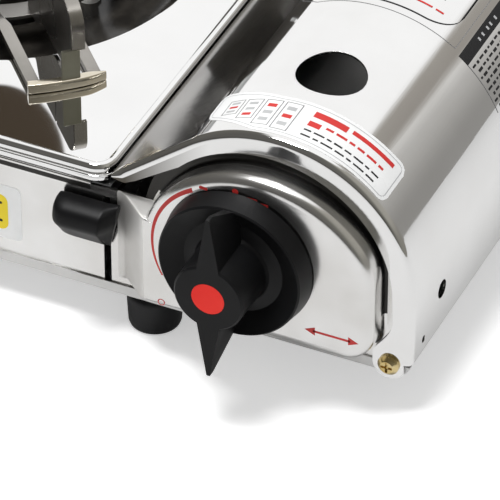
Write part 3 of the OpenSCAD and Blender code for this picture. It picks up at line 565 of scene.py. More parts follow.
def boss_loop(y, inset):
    """Outline of the raised face at depth y, from the ramp's lower corner round to its upper one."""
    cx, cz, r = BOSS
    left, low, right = ramp_x(y), BOSS_LOW + inset, BOSS_RIGHT - inset
    high = WALL_H - 0.5 - 0.12 * inset
    turn, soft = BOSS_CORNER - inset, 1.0
    shoulder_x = BOSS_RIGHT - SHOULDER_R
    shoulder_z = cz + sqrt((r - SHOULDER_R) ** 2 - (shoulder_x - cx) ** 2)
    lean = degrees(atan2(shoulder_z - cz, shoulder_x - cx))
    loop = [(left + soft - soft * cos(t), low + soft - soft * sin(t)) for t in (0, pi / 6, pi / 3)]
    loop += [(left + soft + (BOSS_RIGHT - BOSS_CORNER - left - soft) * i / 24, low) for i in range(25)]
    loop += circle(BOSS_RIGHT - BOSS_CORNER, BOSS_LOW + BOSS_CORNER, turn, 14, -84, 0)
    foot = BOSS_LOW + BOSS_CORNER
    loop += [(right, foot + (shoulder_z - foot) * i / 8) for i in range(1, 8)]
    loop += circle(shoulder_x, shoulder_z, SHOULDER_R - inset, 18, 0, lean)
    loop += circle(cx, cz, r - inset, 90, lean, left_turn(r - inset, high - cz))[1:]
    shelf = loop[-1][0]
    loop += [(shelf + (left + soft - shelf) * i / 5, high) for i in range(1, 6)]
    loop += [(left + soft - soft * sin(t), high - soft + soft * cos(t)) for t in (pi / 6, pi / 3, pi / 2)]
    loop += [(left, high - soft + (low + 2 * soft - high) * i / 12) for i in range(1, 12)]
    return upright(y, loop)


def boss_finish(corners):
    """Satin on the ramp, painted shade in the groove under the lid, and plain elsewhere."""
    if all(x < RAMP_TOP + 2 and y > FACE_Y + 0.5 for x, y, z in corners):
        return SOFT
    if all(y > GROOVE_Y and z > GROOVE_LOW for x, y, z in corners):
        return PAINTED_SHADE
    return PLAIN


def panel_outline():
    """The panel's own edge under the lid and along the case, down to the unpolished edge."""
    arch = circle(*ARCH, UNDER_LID_R, 70, 0, left_turn(UNDER_LID_R, WALL_H - ARCH[1]))
    corner = circle(PANEL_RIGHT - PANEL_CORNER, SHEET + PANEL_CORNER, PANEL_CORNER, 8, -90, 0)
    lip = [(LIP_END, WALL_H - TOP_BEND), (LIP_END, LIP_LOW), (PANEL_LEFT, LIP_LOW)]
    return [(PANEL_LEFT, SHEET)] + corner + arch + lip


def slot_outline():
    """The lever's slot with the step at its foot."""
    x0, x1, z0, z1 = SLOT
    left, right, low, high = SLOT_FOOT
    return [(x0, z0), (left, z0), (left, low), (right, low), (right, high), (x1, high), (x1, z1), (x0, z1)]


def make_panel():
    shape = Shape()
    levels = [(FACE_Y + along, inset) for along, inset in rounding(BOSS_ROUND, 10)]
    levels += [(y, 0.0) for y in BOSS_YS]
    levels += [(PANEL_Y - along, -inset) for along, inset in reversed(rounding(FOOT_ROUND, 6))]
    loops = [boss_loop(y, inset) for y, inset in levels]
    shape.skin(loops, closed=True)
    shape.finishes = [boss_finish([shape.points[k] for k in face]) for face in shape.faces]
    shape.fill(loops[0], upright(FACE_Y, circle(*KNOB, SPINDLE_R)))
    front = len(shape.faces)
    holes = [upright(PANEL_Y, hole) for hole in (slot_outline(), circle(*HINGE, SCREW_R, 20))]
    shape.fill(upright(PANEL_Y, panel_outline()), loops[-1], *holes)
    # Painted shade on the panel's top strip, under the bend.
    for i in range(front, len(shape.faces)):
        if min(shape.points[k][2] for k in shape.faces[i]) > WALL_H - TOP_BEND - 0.1:
            shape.finishes[i] = PAINTED_SHADE
    edge = [(PANEL_Y, LIP_LOW), (PANEL_Y, LIP_TOP)]
    crease = [(PANEL_Y, LIP_TOP), (PANEL_Y, WALL_H - TOP_BEND)]
    bend = [(PANEL_Y + TOP_DEPTH, WALL_H)]
    bend += [(PANEL_Y + TOP_BEND * (1 - cos(t)), WALL_H - TOP_BEND * (1 - sin(t)))
             for t in reversed(quarter(5))]
    # the band under the tray gets painted shade
    for finish, section in ((PAINTED_SHADE, edge), (PLAIN, crease), (PLAIN, bend)):
        shape.finish = finish
        shape.skin([[(x, y, z) for x in (LIP_END, PANEL_LEFT)] for y, z in section])
    return shape.piece("front_sheet", [PANEL, SHADED, SATIN], "case", (0, -1, 0), SHEET, 0.15)


front_sheet = make_panel()
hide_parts("front_panel")

# ---- drip tray ----

TRAY = (-344.5, 0.4, -123.6, 249.2)  # left, front, right and rear
TRAY_CORNER, CORNER_STEPS = 9.0, 12
SIDE_STEP = 8  # least length of a part of the rim's straight sides
TRAY_FLOOR = 54.5
BURNER = (-234.0, 125.0)
BOWL_R = 84.0
BRIM = [(BOWL_R + 0.8, TRAY_FLOOR), (BOWL_R + 0.3, TRAY_FLOOR - 0.12), (BOWL_R, TRAY_FLOOR - 0.45)]
BOWL_HOLE, BOWL_SLOPE = 37, 46.6  # radius of the bowl's hole, and width of the slope round it
BOWL_LOW, BOWL_DEPTH, BOWL_CURVE, BOWL_STEPS = 36.5, 17.6, 3.2, 16  # height at the hole, and the rise
BOWL_ENAMEL = 1  # finish
RIM_W = 4.5
BEAD_LOW, BEAD_H, BEAD_STEPS = 55.3, 2.7, 16  # foot and height of the bead along the rim
# The rim's section, each point as its way in from the edge and its height.
RIM_UP = [(1.1, 50.3), (1.1, 51.7), (0.5, 52.0), (0.15, 52.4), (0.15, 53.0), (0.6, 53.35), (1.3, 53.5),
          (1.5, 53.8), (1.3, 54.2), (0.55, 54.5), (0.15, 54.9)]
RIM_DOWN = [(RIM_W + 0.1, TRAY_FLOOR + 0.6), (RIM_W + 0.45, TRAY_FLOOR + 0.2), (RIM_W + 1.1, TRAY_FLOOR)]
BORDERS = (0.02, 0.97)  # narrow borders keep the floor between them flat in the reflections


def round_burner(r, z, turns):
    """Points round the burner's middle."""
    return [(BURNER[0] + r * cos(t), BURNER[1] + r * sin(t), z) for t in turns]


def tray_rim():
    """Points round the tray's outer edge with the way out at each: corners and evenly split sides."""
    x0, y0, x1, y1 = TRAY
    r = TRAY_CORNER
    rim = []
    corners = [(x1 - r, y0 + r, -90), (x1 - r, y1 - r, 0), (x0 + r, y1 - r, 90), (x0 + r, y0 + r, 180)]
    for i, (cx, cy, a) in enumerate(corners):
        turns = [radians(a + 90 * k / CORNER_STEPS) for k in range(CORNER_STEPS + 1)]
        rim += [(cx + r * cos(t), cy + r * sin(t), cos(t), sin(t)) for t in turns]
        sx, sy, out_x, out_y = rim[-1]
        nx, ny, na = corners[(i + 1) % 4]
        run_x, run_y = nx + r * cos(radians(na)) - sx, ny + r * sin(radians(na)) - sy
        count = int(hypot(run_x, run_y) / SIDE_STEP)
        rim += [(sx + run_x * k / count, sy + run_y * k / count, out_x, out_y) for k in range(1, count)]
    return rim


def make_tray():
    shape = Shape()
    half = RIM_W / 2
    turns = [pi * i / BEAD_STEPS for i in range(1, BEAD_STEPS)]
    bead = [(half - half * cos(t), BEAD_LOW + BEAD_H * sin(t)) for t in turns]
    rim = tray_rim()
    loops = [[(x - nx * inset, y - ny * inset, z) for x, y, nx, ny in rim]
             for inset, z in RIM_UP + bead + RIM_DOWN]
    edge = loops[-1]
    spokes = [atan2(y - BURNER[1], x - BURNER[0]) for x, y, _ in edge]
    brim = round_burner(*BRIM[0], spokes)
    for t in BORDERS:
        loops.append([tuple(a + (b - a) * t for a, b in zip(p, q)) for p, q in zip(edge, brim)])
    shape.skin(loops + [brim], closed=True)
    bowl = BRIM[:]
    for i in range(1, BOWL_STEPS + 1):
        t = 1 - i / BOWL_STEPS
        bowl.append((BOWL_HOLE + BOWL_SLOPE * t, BOWL_LOW + BOWL_DEPTH * (1 - sqrt(1 - t ** BOWL_CURVE))))
    shape.skin([round_burner(*spot, spokes) for spot in bowl[:2]], closed=True)
    shape.finish = BOWL_ENAMEL
    shape.skin([round_burner(*spot, spokes) for spot in bowl[1:]], closed=True)
    return shape.piece("tray_sheet", [BRIGHT, BOWL], "case", (0, 0, 1), SHEET, 0.1)


tray_sheet = make_tray()
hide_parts("drip_tray")

# ---- lever cap ----

CAP_SPAN = (-144.0, -119.5)
CAP_SLANT = -123.5  # where the slanted right face begins
CAP_BACK, CAP_FRONT, CAP_MIDDLE = 1.2, -10.5, 34
CAP_SECTION = [(CAP_BACK, 21.2), (CAP_BACK, 43.2), (-5.0, 43.2), (-9.2, 41.2), (CAP_FRONT, 37.5),
               (-10.2, 34.4)]
CAP_SOFT = 2.4  # from a corner of the section to where its curve starts
NOSE, NOSE_THIN, NOSE_LOW = 5.5, 0.34, 0.10  # rounded left end: length, and shares that its tip loses
# The right end: the way past the slant's beginning, and the shares of the depth and of the height left.
CAP_END = [(-0.3, 0.985, 1), (0.1, 0.95, 1), (0.6, 0.846, 1), (1.6, 0.706, 1), (2.8, 0.538, 1),
           (3.68, 0.4148, 1), (4.0, 0.40, 0.995)]
CAP_LEAN, CAP_WAIST = 0.30, 37.0  # below the waist, the right end slants to the left


def softened(outline, r, steps=5):
    """The outline with each corner cut by a curve that starts at most r from it."""
    loop = []
    count = len(outline)
    for i, corner in enumerate(outline):
        ends = []
        for other in (outline[i - 1], outline[(i + 1) % count]):
            dx, dz = other[0] - corner[0], other[1] - corner[1]
            t = min(r, hypot(dx, dz) * 0.45) / hypot(dx, dz)
            ends.append((corner[0] + dx * t, corner[1] + dz * t))
        for k in range(steps + 1):
            t = k / steps
            loop.append(tuple((1 - t) ** 2 * a + 2 * t * (1 - t) * b + t ** 2 * c
                              for a, b, c in zip(ends[0], corner, ends[1])))
    return loop


def make_lever_cap():
    shape = Shape()
    section = softened(CAP_SECTION, CAP_SOFT)
    left, right = CAP_SPAN
    start, run = left + NOSE, CAP_SLANT - 0.8 - left - NOSE
    stations = [(left + NOSE * (1 - cos(t)), 1 - NOSE_THIN * (1 - sin(t)), 1 - NOSE_LOW * (1 - sin(t)))
                for t in quarter(9)]
    stations += [(start + run * i / 4, 1, 1) for i in range(1, 5)]
    stations += [(CAP_SLANT + past, deep, tall) for past, deep, tall in CAP_END]
    rows = []
    for x, deep, tall in stations:
        lean = CAP_LEAN * ((x - left) / (right - left)) ** 2
        rows.append([(x - lean * max(0, CAP_WAIST - z), CAP_BACK + (y - CAP_BACK) * deep,
                      CAP_MIDDLE + (z - CAP_MIDDLE) * tall) for y, z in section])
    shape.skin(rows, closed=True)
    shape.cap(rows)
    return shape.piece("lever_cap_moulding", [BLACK], "lever", (0, -1, 0), edge=0.4, crease=40)


lever_cap = make_lever_cap()
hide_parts("lever_cap")

# ---- trivet ----

TRIVET_R, TRIVET_TOP = 109.0, 89.0
TRIVET_LOW = TRAY_FLOOR + 0.1
TRIVET_TURN = -2.0
STRIPS, FEET, TABS, WEBS = 0, 1, 2, 3  # finishes
BAR_W, BAR_H, BAR_SPAN, BAR_STEPS, BAR_SIDES = 4.5, 4.6, (-18.0, 13.0), 36, 16
TAPER_START, TAPER, TAPER_CURVE = 26, 0.75, 1.6  # the step where the bar begins to narrow, and how
SQUARENESS = 0.6  # of the bar's section: 1 is round, 0 square
RING_IN, RING_OUT, RING_LOW, RING_T, RING_STEPS = 43.0, 52.0, 50.0, 1.5, 120
# Outlines of an arm: the way out from the burner's middle, and the height.
WEB_END, WEB_T, WEB_ROUND, WEB_TOP = TRIVET_R - 2.2, 1.5, 9.0, TRIVET_TOP - 0.2
CROWN_TURNS = quarter(10)
WEB_CROWN = [(WEB_END + 0.2 - WEB_ROUND + WEB_ROUND * cos(t), TRIVET_TOP - WEB_ROUND + WEB_ROUND * sin(t))
             for t in CROWN_TURNS]
SLIT = [(83.0, WEB_TOP), (83.0, 72.6), (82.6, 72.0), (81.8, 72.0), (81.4, 72.6), (81.4, WEB_TOP)]
WEB_INNER = [(64, WEB_TOP), (61.5, TRIVET_TOP - 1.4), (46, 62), (46, 50.6), (56, 50.6), (66, TRIVET_LOW + 2)]
WEB = [(WEB_END, TRIVET_LOW + 2), *WEB_CROWN[:-1], (WEB_END - WEB_ROUND, WEB_TOP), *SLIT, *WEB_INNER]
LEG_W, LEG_T = 5.0, 2.4
LEG_YS = (BAR_SPAN[0] + 0.4, BAR_SPAN[1] - LEG_W - 1.6)
LEG = [(47, 50.4), (51, 50.4), (64, TRIVET_LOW + 0.5), (WEB_END - 1.8, TRIVET_LOW + 0.5)]
TAB_SPAN, TAB_T = (-4.8, 2.4), 1.4
TAB = [(WEB_END + 0.9, TRIVET_LOW + 1.5), (WEB_END + 0.9, 66), (WEB_END + 0.9, 71.8)]
FOLD_SPAN, FOLD_T = (-0.6, 4.6), 1.3
FOLD = [(WEB_END + 0.7, 71.4), (WEB_END + 0.7, 76)]
FOLD += [(x + 0.5 * cos(t), z) for t, (x, z) in zip(CROWN_TURNS, WEB_CROWN)]
FOLD += [(90, TRIVET_TOP), (84, TRIVET_TOP)]


def plate(shape, outline, y0, y1, put):
    """A flat plate from its outline (x, z), between two depths, placed by put."""
    faces = [[put(x, y, z) for x, z in outline] for y in (y0, y1)]
    shape.cap(faces)
    shape.skin(faces, closed=True)


def ribbon(shape, path, y0, y1, thick, put):
    """A strip of sheet bent along a path (x, z), with its thickness to the path's left."""
    inner = []
    for i, (x, z) in enumerate(path):
        before, after = path[max(0, i - 1)], path[min(len(path) - 1, i + 1)]
        dx, dz = after[0] - before[0], after[1] - before[1]
        run = hypot(dx, dz)
        inner.append((x - dz / run * thick, z + dx / run * thick))
    rows = [[put(x, y0, z), put(x, y1, z), put(u, y1, w), put(u, y0, w)]
            for (x, z), (u, w) in zip(path, inner)]
    shape.skin(rows, closed=True)
    shape.cap(rows)


def squared(value):
    """A cosine or sine moved away from zero, for a squarer section."""
    return abs(value) ** SQUARENESS * (1 if value > 0 else -1)


def foot_bar(shape, put):
    """Curved foot of an arm: a rounded bar that narrows at its right end."""
    middle = TRIVET_R - BAR_W / 2
    rows = []
    for i in range(BAR_STEPS + 1):
        a = (BAR_SPAN[0] + (BAR_SPAN[1] - BAR_SPAN[0]) * i / BAR_STEPS) / middle
        late = max(0.0, (i - TAPER_START) / (BAR_STEPS - TAPER_START))
        narrow = 1 - TAPER * late ** TAPER_CURVE
        wide, high = BAR_W / 2 * narrow, BAR_H / 2 * (1 - 0.25 * (1 - narrow))
        ring = []
        for t in [2 * pi * k / BAR_SIDES for k in range(BAR_SIDES)]:
            r = middle + wide * squared(cos(t))
            ring.append(put(r * cos(a), r * sin(a), TRIVET_LOW + high + high * squared(sin(t))))
        rows.append(ring)
    shape.skin(rows, closed=True)
    shape.cap(rows)


def arm(shape, turn):
    """One arm of the pan support: foot bar, two legs, web, tab at its end and the strip folded over it."""
    c, w = cos(radians(turn)), sin(radians(turn))

    def put(x, y, z):
        return (BURNER[0] + x * c - y * w, BURNER[1] + x * w + y * c, z)

    shape.finish = FEET
    foot_bar(shape, put)
    shape.finish = STRIPS
    for y in LEG_YS:
        ribbon(shape, LEG, y, y + LEG_W, LEG_T, put)
    shape.finish = WEBS
    plate(shape, WEB, -WEB_T / 2, WEB_T / 2, put)
    shape.finish = TABS
    ribbon(shape, TAB, *TAB_SPAN, TAB_T, put)
    shape.finish = STRIPS
    ribbon(shape, FOLD, *FOLD_SPAN, FOLD_T, put)


def make_trivet():
    shape = Shape()
    for side in range(4):
        arm(shape, 45 + 90 * side + TRIVET_TURN)
    shape.finish = WEBS
    high = RING_LOW + RING_T
    around = [2 * pi * i / RING_STEPS for i in range(RING_STEPS)]
    section = [(RING_OUT, RING_LOW), (RING_OUT, high), (RING_IN, high), (RING_IN, RING_LOW)]
    shape.skin([round_burner(r, z, around) for r, z in section + section[:1]], closed=True)
    finishes = [TRIVET, POLISHED, OLIVE, WEB_STEEL]
    return shape.piece("trivet_steelwork", finishes, "trivet", (0, 0, 1), edge=0.3, crease=40)


trivet_steelwork = make_trivet()
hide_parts("trivet")

# ---- soft edges of pieces that stay as the CAD has them ----

for name, edge in (("knob", 0.35), ("rubber_feet", 0.0), ("base_pan", 0.2), ("knob_inlay", 0.3),
                   ("burner_cap", 0.4), ("burner_base", 0.4), ("hinge_screws", 0.15)):
    dress(name, edge)

# ---- labels and print ----


def ink(name, colour, rough=0.42):
    """Printed film: an even colour with a little mottle."""
    worn = tuple(c * 0.90 for c in colour)
    return moulded(name, worn, colour, (rough - 0.06, rough + 0.06), 0.05, 500, level=0.35)


PAPER = ink("label_white", (0.88, 0.885, 0.88), 0.30)
GREY_INK = ink("label_grey", (0.22, 0.22, 0.225))
PALE_INK = ink("label_pale_grey", (0.48, 0.485, 0.49))
BLACK_INK = ink("label_black", (0.008, 0.008, 0.009), 0.5)
RED_INK = ink("label_red", (0.62, 0.035, 0.03))
YELLOW_INK = ink("label_yellow", (0.90, 0.70, 0.02))
LABEL_INKS = [PAPER, GREY_INK, PALE_INK, RED_INK, BLACK_INK]
ON_WHITE, IN_GREY, IN_PALE, IN_RED, IN_BLACK = range(5)  # finishes of the two lid labels
ARC_MM = ARCH_R * pi / 180  # length of one degree round the arch
FILM, PRINT, OVERPRINT = 0.05, 0.09, 0.12  # height of a label's film and of its prints above the metal
LINE, HAIRLINE = 0.35, 0.25

# Labels on the lid: places round the arch in degrees to the right of straight up, and depths in mm.
FRONT_SPAN, FRONT_CORNER = (-37.5, 48.3), 4.0
FIELDS, FIELD_W, FIELD_TOP, FIELD_SIDE = (-30, -21.8, -13.6, -5.4), 7, 23.6, 0.4
FIELD_BARS, BAR_SHARE, BAR_INSET = (0.16, 0.44, 0.72), 0.13, 1.6
RED_BARS = ((7, 21, 19.2, 22.6), (23, 43, 20.4, 22.6), (7, 12, 13.6, 16.6))
FRONT_DASHES = ((IN_RED, 14, 44, 15.4, 1.3, (3.2, 4.6, 2.4), 1.2),
                (IN_BLACK, 7, 44, 10.6, 0.9, (3.0, 4.4, 2.0, 3.6), 1.1),
                (IN_BLACK, 7, 43, 7.4, 0.9, (4.0, 2.2, 5.0), 1.1))
TOP_SPAN, TOP_END = (-36.0, 35.5), 172.0
TOP_ROWS, TOP_DASHES = [104 + 7.6 * k for k in range(9)], (0.9, (5.0, 2.8, 7.2, 3.6), 1.5)
BAND, BAND_BARS = (38.0, 43.2, 91.0, TOP_END), (106, 109.5, 114, 117, 121.5)
SIDE_LINE, SIDE_ROWS, SIDE_FRONT = (43.2, 66.0, 91.0, 91.3), [45.0 + 2.7 * k for k in range(8)], 92.6
SIDE_DASHES, SIDE_GAP = (2.4, 1.5, 3.1, 2.0, 1.2, 2.7), 1.3


def on_lid(turn, y, lift):
    """A point above the arch, at an angle to the right of straight up."""
    r = ARCH_R + lift
    return (ARCH[0] + r * sin(radians(turn)), y, ARCH[1] + r * cos(radians(turn)))


def strip(shape, finish, start, end, low, high, lift=PRINT):
    """A strip round the arch between two angles; its front and back edges may be functions of the angle."""
    shape.finish = finish
    count = max(1, round(end - start))
    rows = []
    for i in range(count + 1):
        turn = start + (end - start) * i / count
        rows.append([on_lid(turn, edge(turn) if callable(edge) else edge, lift) for edge in (low, high)])
    shape.skin(rows)


def slanted(edge, rise, start):
    """A label's front or back edge, which runs back by rise for each degree to the left of start."""
    return lambda turn: edge + rise * max(0.0, start - turn)


def rounded(start, end, front, back, corner, inset=0.0):
    """Front and back edges, as functions of the angle, of a label with rounded corners."""
    start, end = start + inset / ARC_MM, end - inset / ARC_MM
    corner = max(0.3, corner - inset)

    def cut(turn):
        near = max(0.0, min(turn - start, end - turn)) * ARC_MM
        return inset + corner - sqrt(max(0.0, corner ** 2 - max(0.0, corner - near) ** 2))
    return start, end, lambda turn: front(turn) + cut(turn), lambda turn: back(turn) - cut(turn)


def outline(shape, finish, start, end, front, back, corner, inset, width):
    """A printed line round a label, inset from its edge."""
    s, e, low, high = rounded(start, end, front, back, corner, inset)
    soft = 4 / ARC_MM

    def sides(a, b):
        strip(shape, finish, a, b, low, lambda turn: low(turn) + width)
        strip(shape, finish, a, b, lambda turn: high(turn) - width, high)

    sides(s + soft, e - soft)
    for a, b in ((s, s + soft), (e - soft, e)):
        bar = (a, a + width / ARC_MM) if a == s else (b - width / ARC_MM, b)
        strip(shape, finish, *bar, low, high)
        sides(a, b)


def dashes(shape, finish, start, end, y, depth, lengths, gap):
    """A row of plain dashes round the arch."""
    turn, i = start, 0
    while turn + lengths[i % len(lengths)] < end:
        length = lengths[i % len(lengths)]
        strip(shape, finish, turn, turn + length, y, y + depth)
        turn += length + gap
        i += 1


def make_front_label():
    """White label behind the front bend: a block of outlined fields, red bars and rows of dashes."""
    shape = Shape()
    edges = (slanted(3.6, 0.40, -11), slanted(26.4, 0.16, -8))
    strip(shape, ON_WHITE, *rounded(*FRONT_SPAN, *edges, FRONT_CORNER), FILM)
    outline(shape, IN_PALE, *FRONT_SPAN, *edges, FRONT_CORNER, 1.4, LINE)
    for i, left in enumerate(FIELDS):
        right = left + FIELD_W
        foot = max(edges[0](left), edges[0](right)) + 2.8
        tall = FIELD_TOP - foot
        for bar in ((left, right, foot, foot + LINE), (left, right, FIELD_TOP - LINE, FIELD_TOP),
                    (left, left + FIELD_SIDE, foot, FIELD_TOP), (right - FIELD_SIDE, right, foot, FIELD_TOP)):
            strip(shape, IN_GREY, *bar)
        for k, share in enumerate(FIELD_BARS):
            y = foot + tall * share
            finish = IN_RED if (i + k) % 3 == 1 else IN_PALE
            strip(shape, finish, left + BAR_INSET, right - BAR_INSET, y, y + tall * BAR_SHARE)
    for bar in RED_BARS:
        strip(shape, IN_RED, *bar)
    for row in FRONT_DASHES:
        dashes(shape, *row)
    return shape.piece("front_label", LABEL_INKS, "lid", (0, 0, 1))


def make_top_label():
    """Larger label behind the round hole, with the black band and the rows of dashes beside it."""
    shape = Shape()
    edges = (slanted(92.5, 0.45, -26), slanted(TOP_END, 0, 0))
    outline(shape, IN_GREY, *TOP_SPAN, *edges, 0.6, 0.2, HAIRLINE)
    outline(shape, IN_BLACK, *TOP_SPAN, *edges, 17.0, 4.2, 0.75)
    for k, y in enumerate(TOP_ROWS):
        dashes(shape, IN_GREY if k % 3 else IN_RED, -24 + 2.5 * (k % 2), 24, y, *TOP_DASHES)
    strip(shape, IN_BLACK, *BAND, FILM)
    for y in BAND_BARS:
        strip(shape, IN_PALE, 39.8, 41.4, y, y + 1.1)
    strip(shape, IN_GREY, *SIDE_LINE)
    for k, turn in enumerate(SIDE_ROWS):
        y, i = SIDE_FRONT + 1.5 * (k % 2), 0
        while y < TOP_END - 8:
            length = SIDE_DASHES[(i + 2 * k) % len(SIDE_DASHES)]
            strip(shape, IN_BLACK, turn, turn + 0.85 + 0.3 * ((i + k) % 2), y, y + length)
            y += length + SIDE_GAP
            i += 1
    return shape.piece("top_label", LABEL_INKS, "lid", (0, 0, 1))


# Blocks of the front's sticker: finish, left, right, foot, top, way out of the panel and corner radius.
STICKER = [(0, -186.0, -161.9, 10.6, 35.7, FILM, 2.4), (1, -182.5, -167.6, 14.5, 31.0, PRINT, 3.4)]
STICKER += [(2, -180.0, right, foot, foot + 1.2, OVERPRINT, 0.5)
            for right, foot in ((-170.0, 18.0), (-172.4, 22.2), (-170.0, 26.4))]
FACE_PRINT_Y = FACE_Y - 0.03
SWEEP, SWEEP_R, SWEEP_START, SWEEP_TURN, SWEEP_STEPS = (-68.8, 40.5), 32.2, 119, 90, 60
SWEEP_HALF, SWEEP_LOSS = 0.95, 0.62  # half the arc's width at its start, and what it loses
DOT = (-67.0, 73.6, 1.25)
MARKS = ((-81.6, -78.2, 70.4, 71.7), (-63.4, -58.2, 71.2, 72.6), (-57.2, -53.8, 70.2, 71.5))
ARROW = (-35.5, -20.5, 19.0)  # ends of its shaft, and height
SHAFT_HALF, TIP, HEAD, BARB = 0.5, 3.4, 4.2, 1.9  # tip beyond the shaft's end, head's length and half height
MARK_RING, MARK_RADII, MARK_SIDES = (-97.6, 11.9), (1.5, 1.1), 24


def flat_block(shape, finish, x0, x1, z0, z1, y, corner):
    """A block with rounded corners on an upright face."""
    shape.finish = finish
    loop = []
    for cx, cz, a in ((x1 - corner, z0 + corner, -90), (x1 - corner, z1 - corner, 0),
                      (x0 + corner, z1 - corner, 90), (x0 + corner, z0 + corner, 180)):
        loop += circle(cx, cz, corner, 6, a, a + 90)
    shape.fill(upright(y, loop))


def make_sticker():
    """Small white label with a plain yellow field and three bars, on the left part of the front."""
    shape = Shape()
    for *block, out, corner in STICKER:
        flat_block(shape, *block, PANEL_Y - out, corner)
    return shape.piece("side_label", [PAPER, YELLOW_INK, BLACK_INK], "case", (0, -1, 0))


def make_face_print():
    """Red print on the control face: arc beside the knob, marks above it, double arrow and small ring."""
    shape = Shape()
    y = FACE_PRINT_Y
    rows = []
    for t in [i / SWEEP_STEPS for i in range(SWEEP_STEPS + 1)]:
        a = radians(SWEEP_START + SWEEP_TURN * t)
        half = SWEEP_HALF - SWEEP_LOSS * t
        rows.append([(SWEEP[0] + r * cos(a), y, SWEEP[1] + r * sin(a))
                     for r in (SWEEP_R - half, SWEEP_R + half)])
    shape.skin(rows)
    shape.fill(upright(y, circle(*DOT, 24)))
    for mark in MARKS:
        flat_block(shape, 0, *mark, y, 0.4)
    x0, x1, z = ARROW
    flat_block(shape, 0, x0, x1, z - SHAFT_HALF, z + SHAFT_HALF, y, 0.3)
    for tip, way in ((x0 - TIP, 1), (x1 + TIP, -1)):
        shape.fill(upright(y, [(tip, z), (tip + way * HEAD, z - BARB), (tip + way * HEAD, z + BARB)]))
    outer, inner = [circle(*MARK_RING, r, MARK_SIDES) for r in MARK_RADII]
    for k in range(MARK_SIDES):
        shape.fill(upright(y, [outer[k - 1], outer[k], inner[k], inner[k - 1]]))
    return shape.piece("face_print", [RED_INK], "case", (0, -1, 0))


for piece in (make_front_label(), make_top_label(), make_sticker(), make_face_print()):
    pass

# ---- stage ----

FLOOR_HALF, FLOOR_RIGHT = 6.0, 0.58  # half the paper's size, and its right edge, m
FLOOR_SEEN, FLOOR_MIRRORED = 0.44, 0.12  # its own light, to the camera and in reflections
FLOOR_WHITE, FLOOR_DULLED = 0.90, 0.58  # the paper itself, and the paper as the metal mirrors it
# The room's walls: side angle to the right of straight behind, in degrees, and colour there.
ROOM = [(-180, (0.115, 0.111, 0.103)), (-120, (0.105, 0.101, 0.094)), (-62, (0.13, 0.125, 0.113)),
        (-49, (0.16, 0.15, 0.13)), (-46.5, (1, 1, 1)), (23.5, (1, 1, 1)), (26, (0.36, 0.34, 0.31)),
        (33.5, (0.31, 0.29, 0.265)), (34.3, (0.66, 0.65, 0.63)), (36.0, (0.66, 0.65, 0.63)),
        (37.0, (0.50, 0.49, 0.475)), (43.0, (0.42, 0.41, 0.39)), (58, (0.36, 0.345, 0.31)),
        (110, (0.33, 0.32, 0.285)), (140, (0.15, 0.145, 0.13)), (180, (0.115, 0.111, 0.103))]
WHITE_LEFT, WHITE_RIGHT = (-49, -47), (25, 23)  # soft edges of the white wall, as side angles
LOW_LIGHT, FULL_HEIGHT = 0.65, 0.35  # share of the other walls' light at the floor; where it is full
CEILING, CEILING_TILT = (0.88, 0.97), 0.25  # heights between which the ceiling begins, lower at the back
AMBIENT = (0.34, 0.34, 0.34)  # even light on matt surfaces
HUNG = ((-0.3803, 0.7033, 0.6030), 0.0133, 0.0176)  # dark lamp shade: direction, half width and half height
HUNG_COLOUR = (0.060, 0.046, 0.033, 1)
PURE_WHITE = (1.0, 1.0, 1.0, 1.0)
LAMP_PLACE, LAMP_TARGET, LAMP_SIZE, LAMP_POWER = (-0.12, -0.28, 1.50), (-0.02, -0.05, 0), 0.50, 22
AZIMUTH, ELEVATION, LENS = 24.8, 38.0, 358.56
CAMERA_PLACE = (543.0, -1317.3, 1173.7)


def calc(tree, operation, a, b=None):
    """One step of arithmetic on sockets or numbers."""
    node = add(tree, "ShaderNodeMath", operation=operation)
    for socket, value in zip(node.inputs, (a, b)):
        if isinstance(value, (int, float)):
            socket.default_value = value
        elif value is not None:
            tree.links.new(value, socket)
    return node.outputs[0]


def step(tree, value, start, end):
    """Smooth step from 0 at start to 1 at end."""
    return spread(tree, value, 0, 1, start, end, "SMOOTHSTEP")


def floor_material():
    """White paper that keeps shadows: near white to the camera, and duller where the metal mirrors it."""
    material, tree, bsdf = shader("paper_floor")
    bsdf.inputs["Roughness"].default_value = 0.9
    bsdf.inputs["Specular IOR Level"].default_value = 0.0
    path = add(tree, "ShaderNodeLightPath")
    paper = tint(tree, path.outputs["Is Glossy Ray"], (FLOOR_WHITE,) * 3, (FLOOR_DULLED,) * 3)
    tree.links.new(paper, bsdf.inputs["Base Color"])
    seen = calc(tree, "MULTIPLY", path.outputs["Is Camera Ray"], FLOOR_SEEN)
    mirrored = calc(tree, "MULTIPLY", path.outputs["Is Glossy Ray"], FLOOR_MIRRORED)
    bsdf.inputs["Emission Color"].default_value = PURE_WHITE
    tree.links.new(calc(tree, "ADD", seen, mirrored), bsdf.inputs["Emission Strength"])
    return material


def make_floor():
    """The paper that the stove stands on."""
    mesh = bpy.data.meshes.new("floor")
    s = FLOOR_HALF
    mesh.from_pydata([(-s, -s, 0), (FLOOR_RIGHT, -s, 0), (FLOOR_RIGHT, s, 0), (-s, s, 0)], [], [(0, 1, 2, 3)])
    floor = placed("floor", mesh)
    mesh.materials.append(floor_material())


def along_axis(tree, direction, axis):
    """How far a direction goes along an axis."""
    dot = add(tree, "ShaderNodeVectorMath", operation="DOT_PRODUCT")
    tree.links.new(direction, dot.inputs[0])
    dot.inputs[1].default_value = axis
    return dot.outputs["Value"]


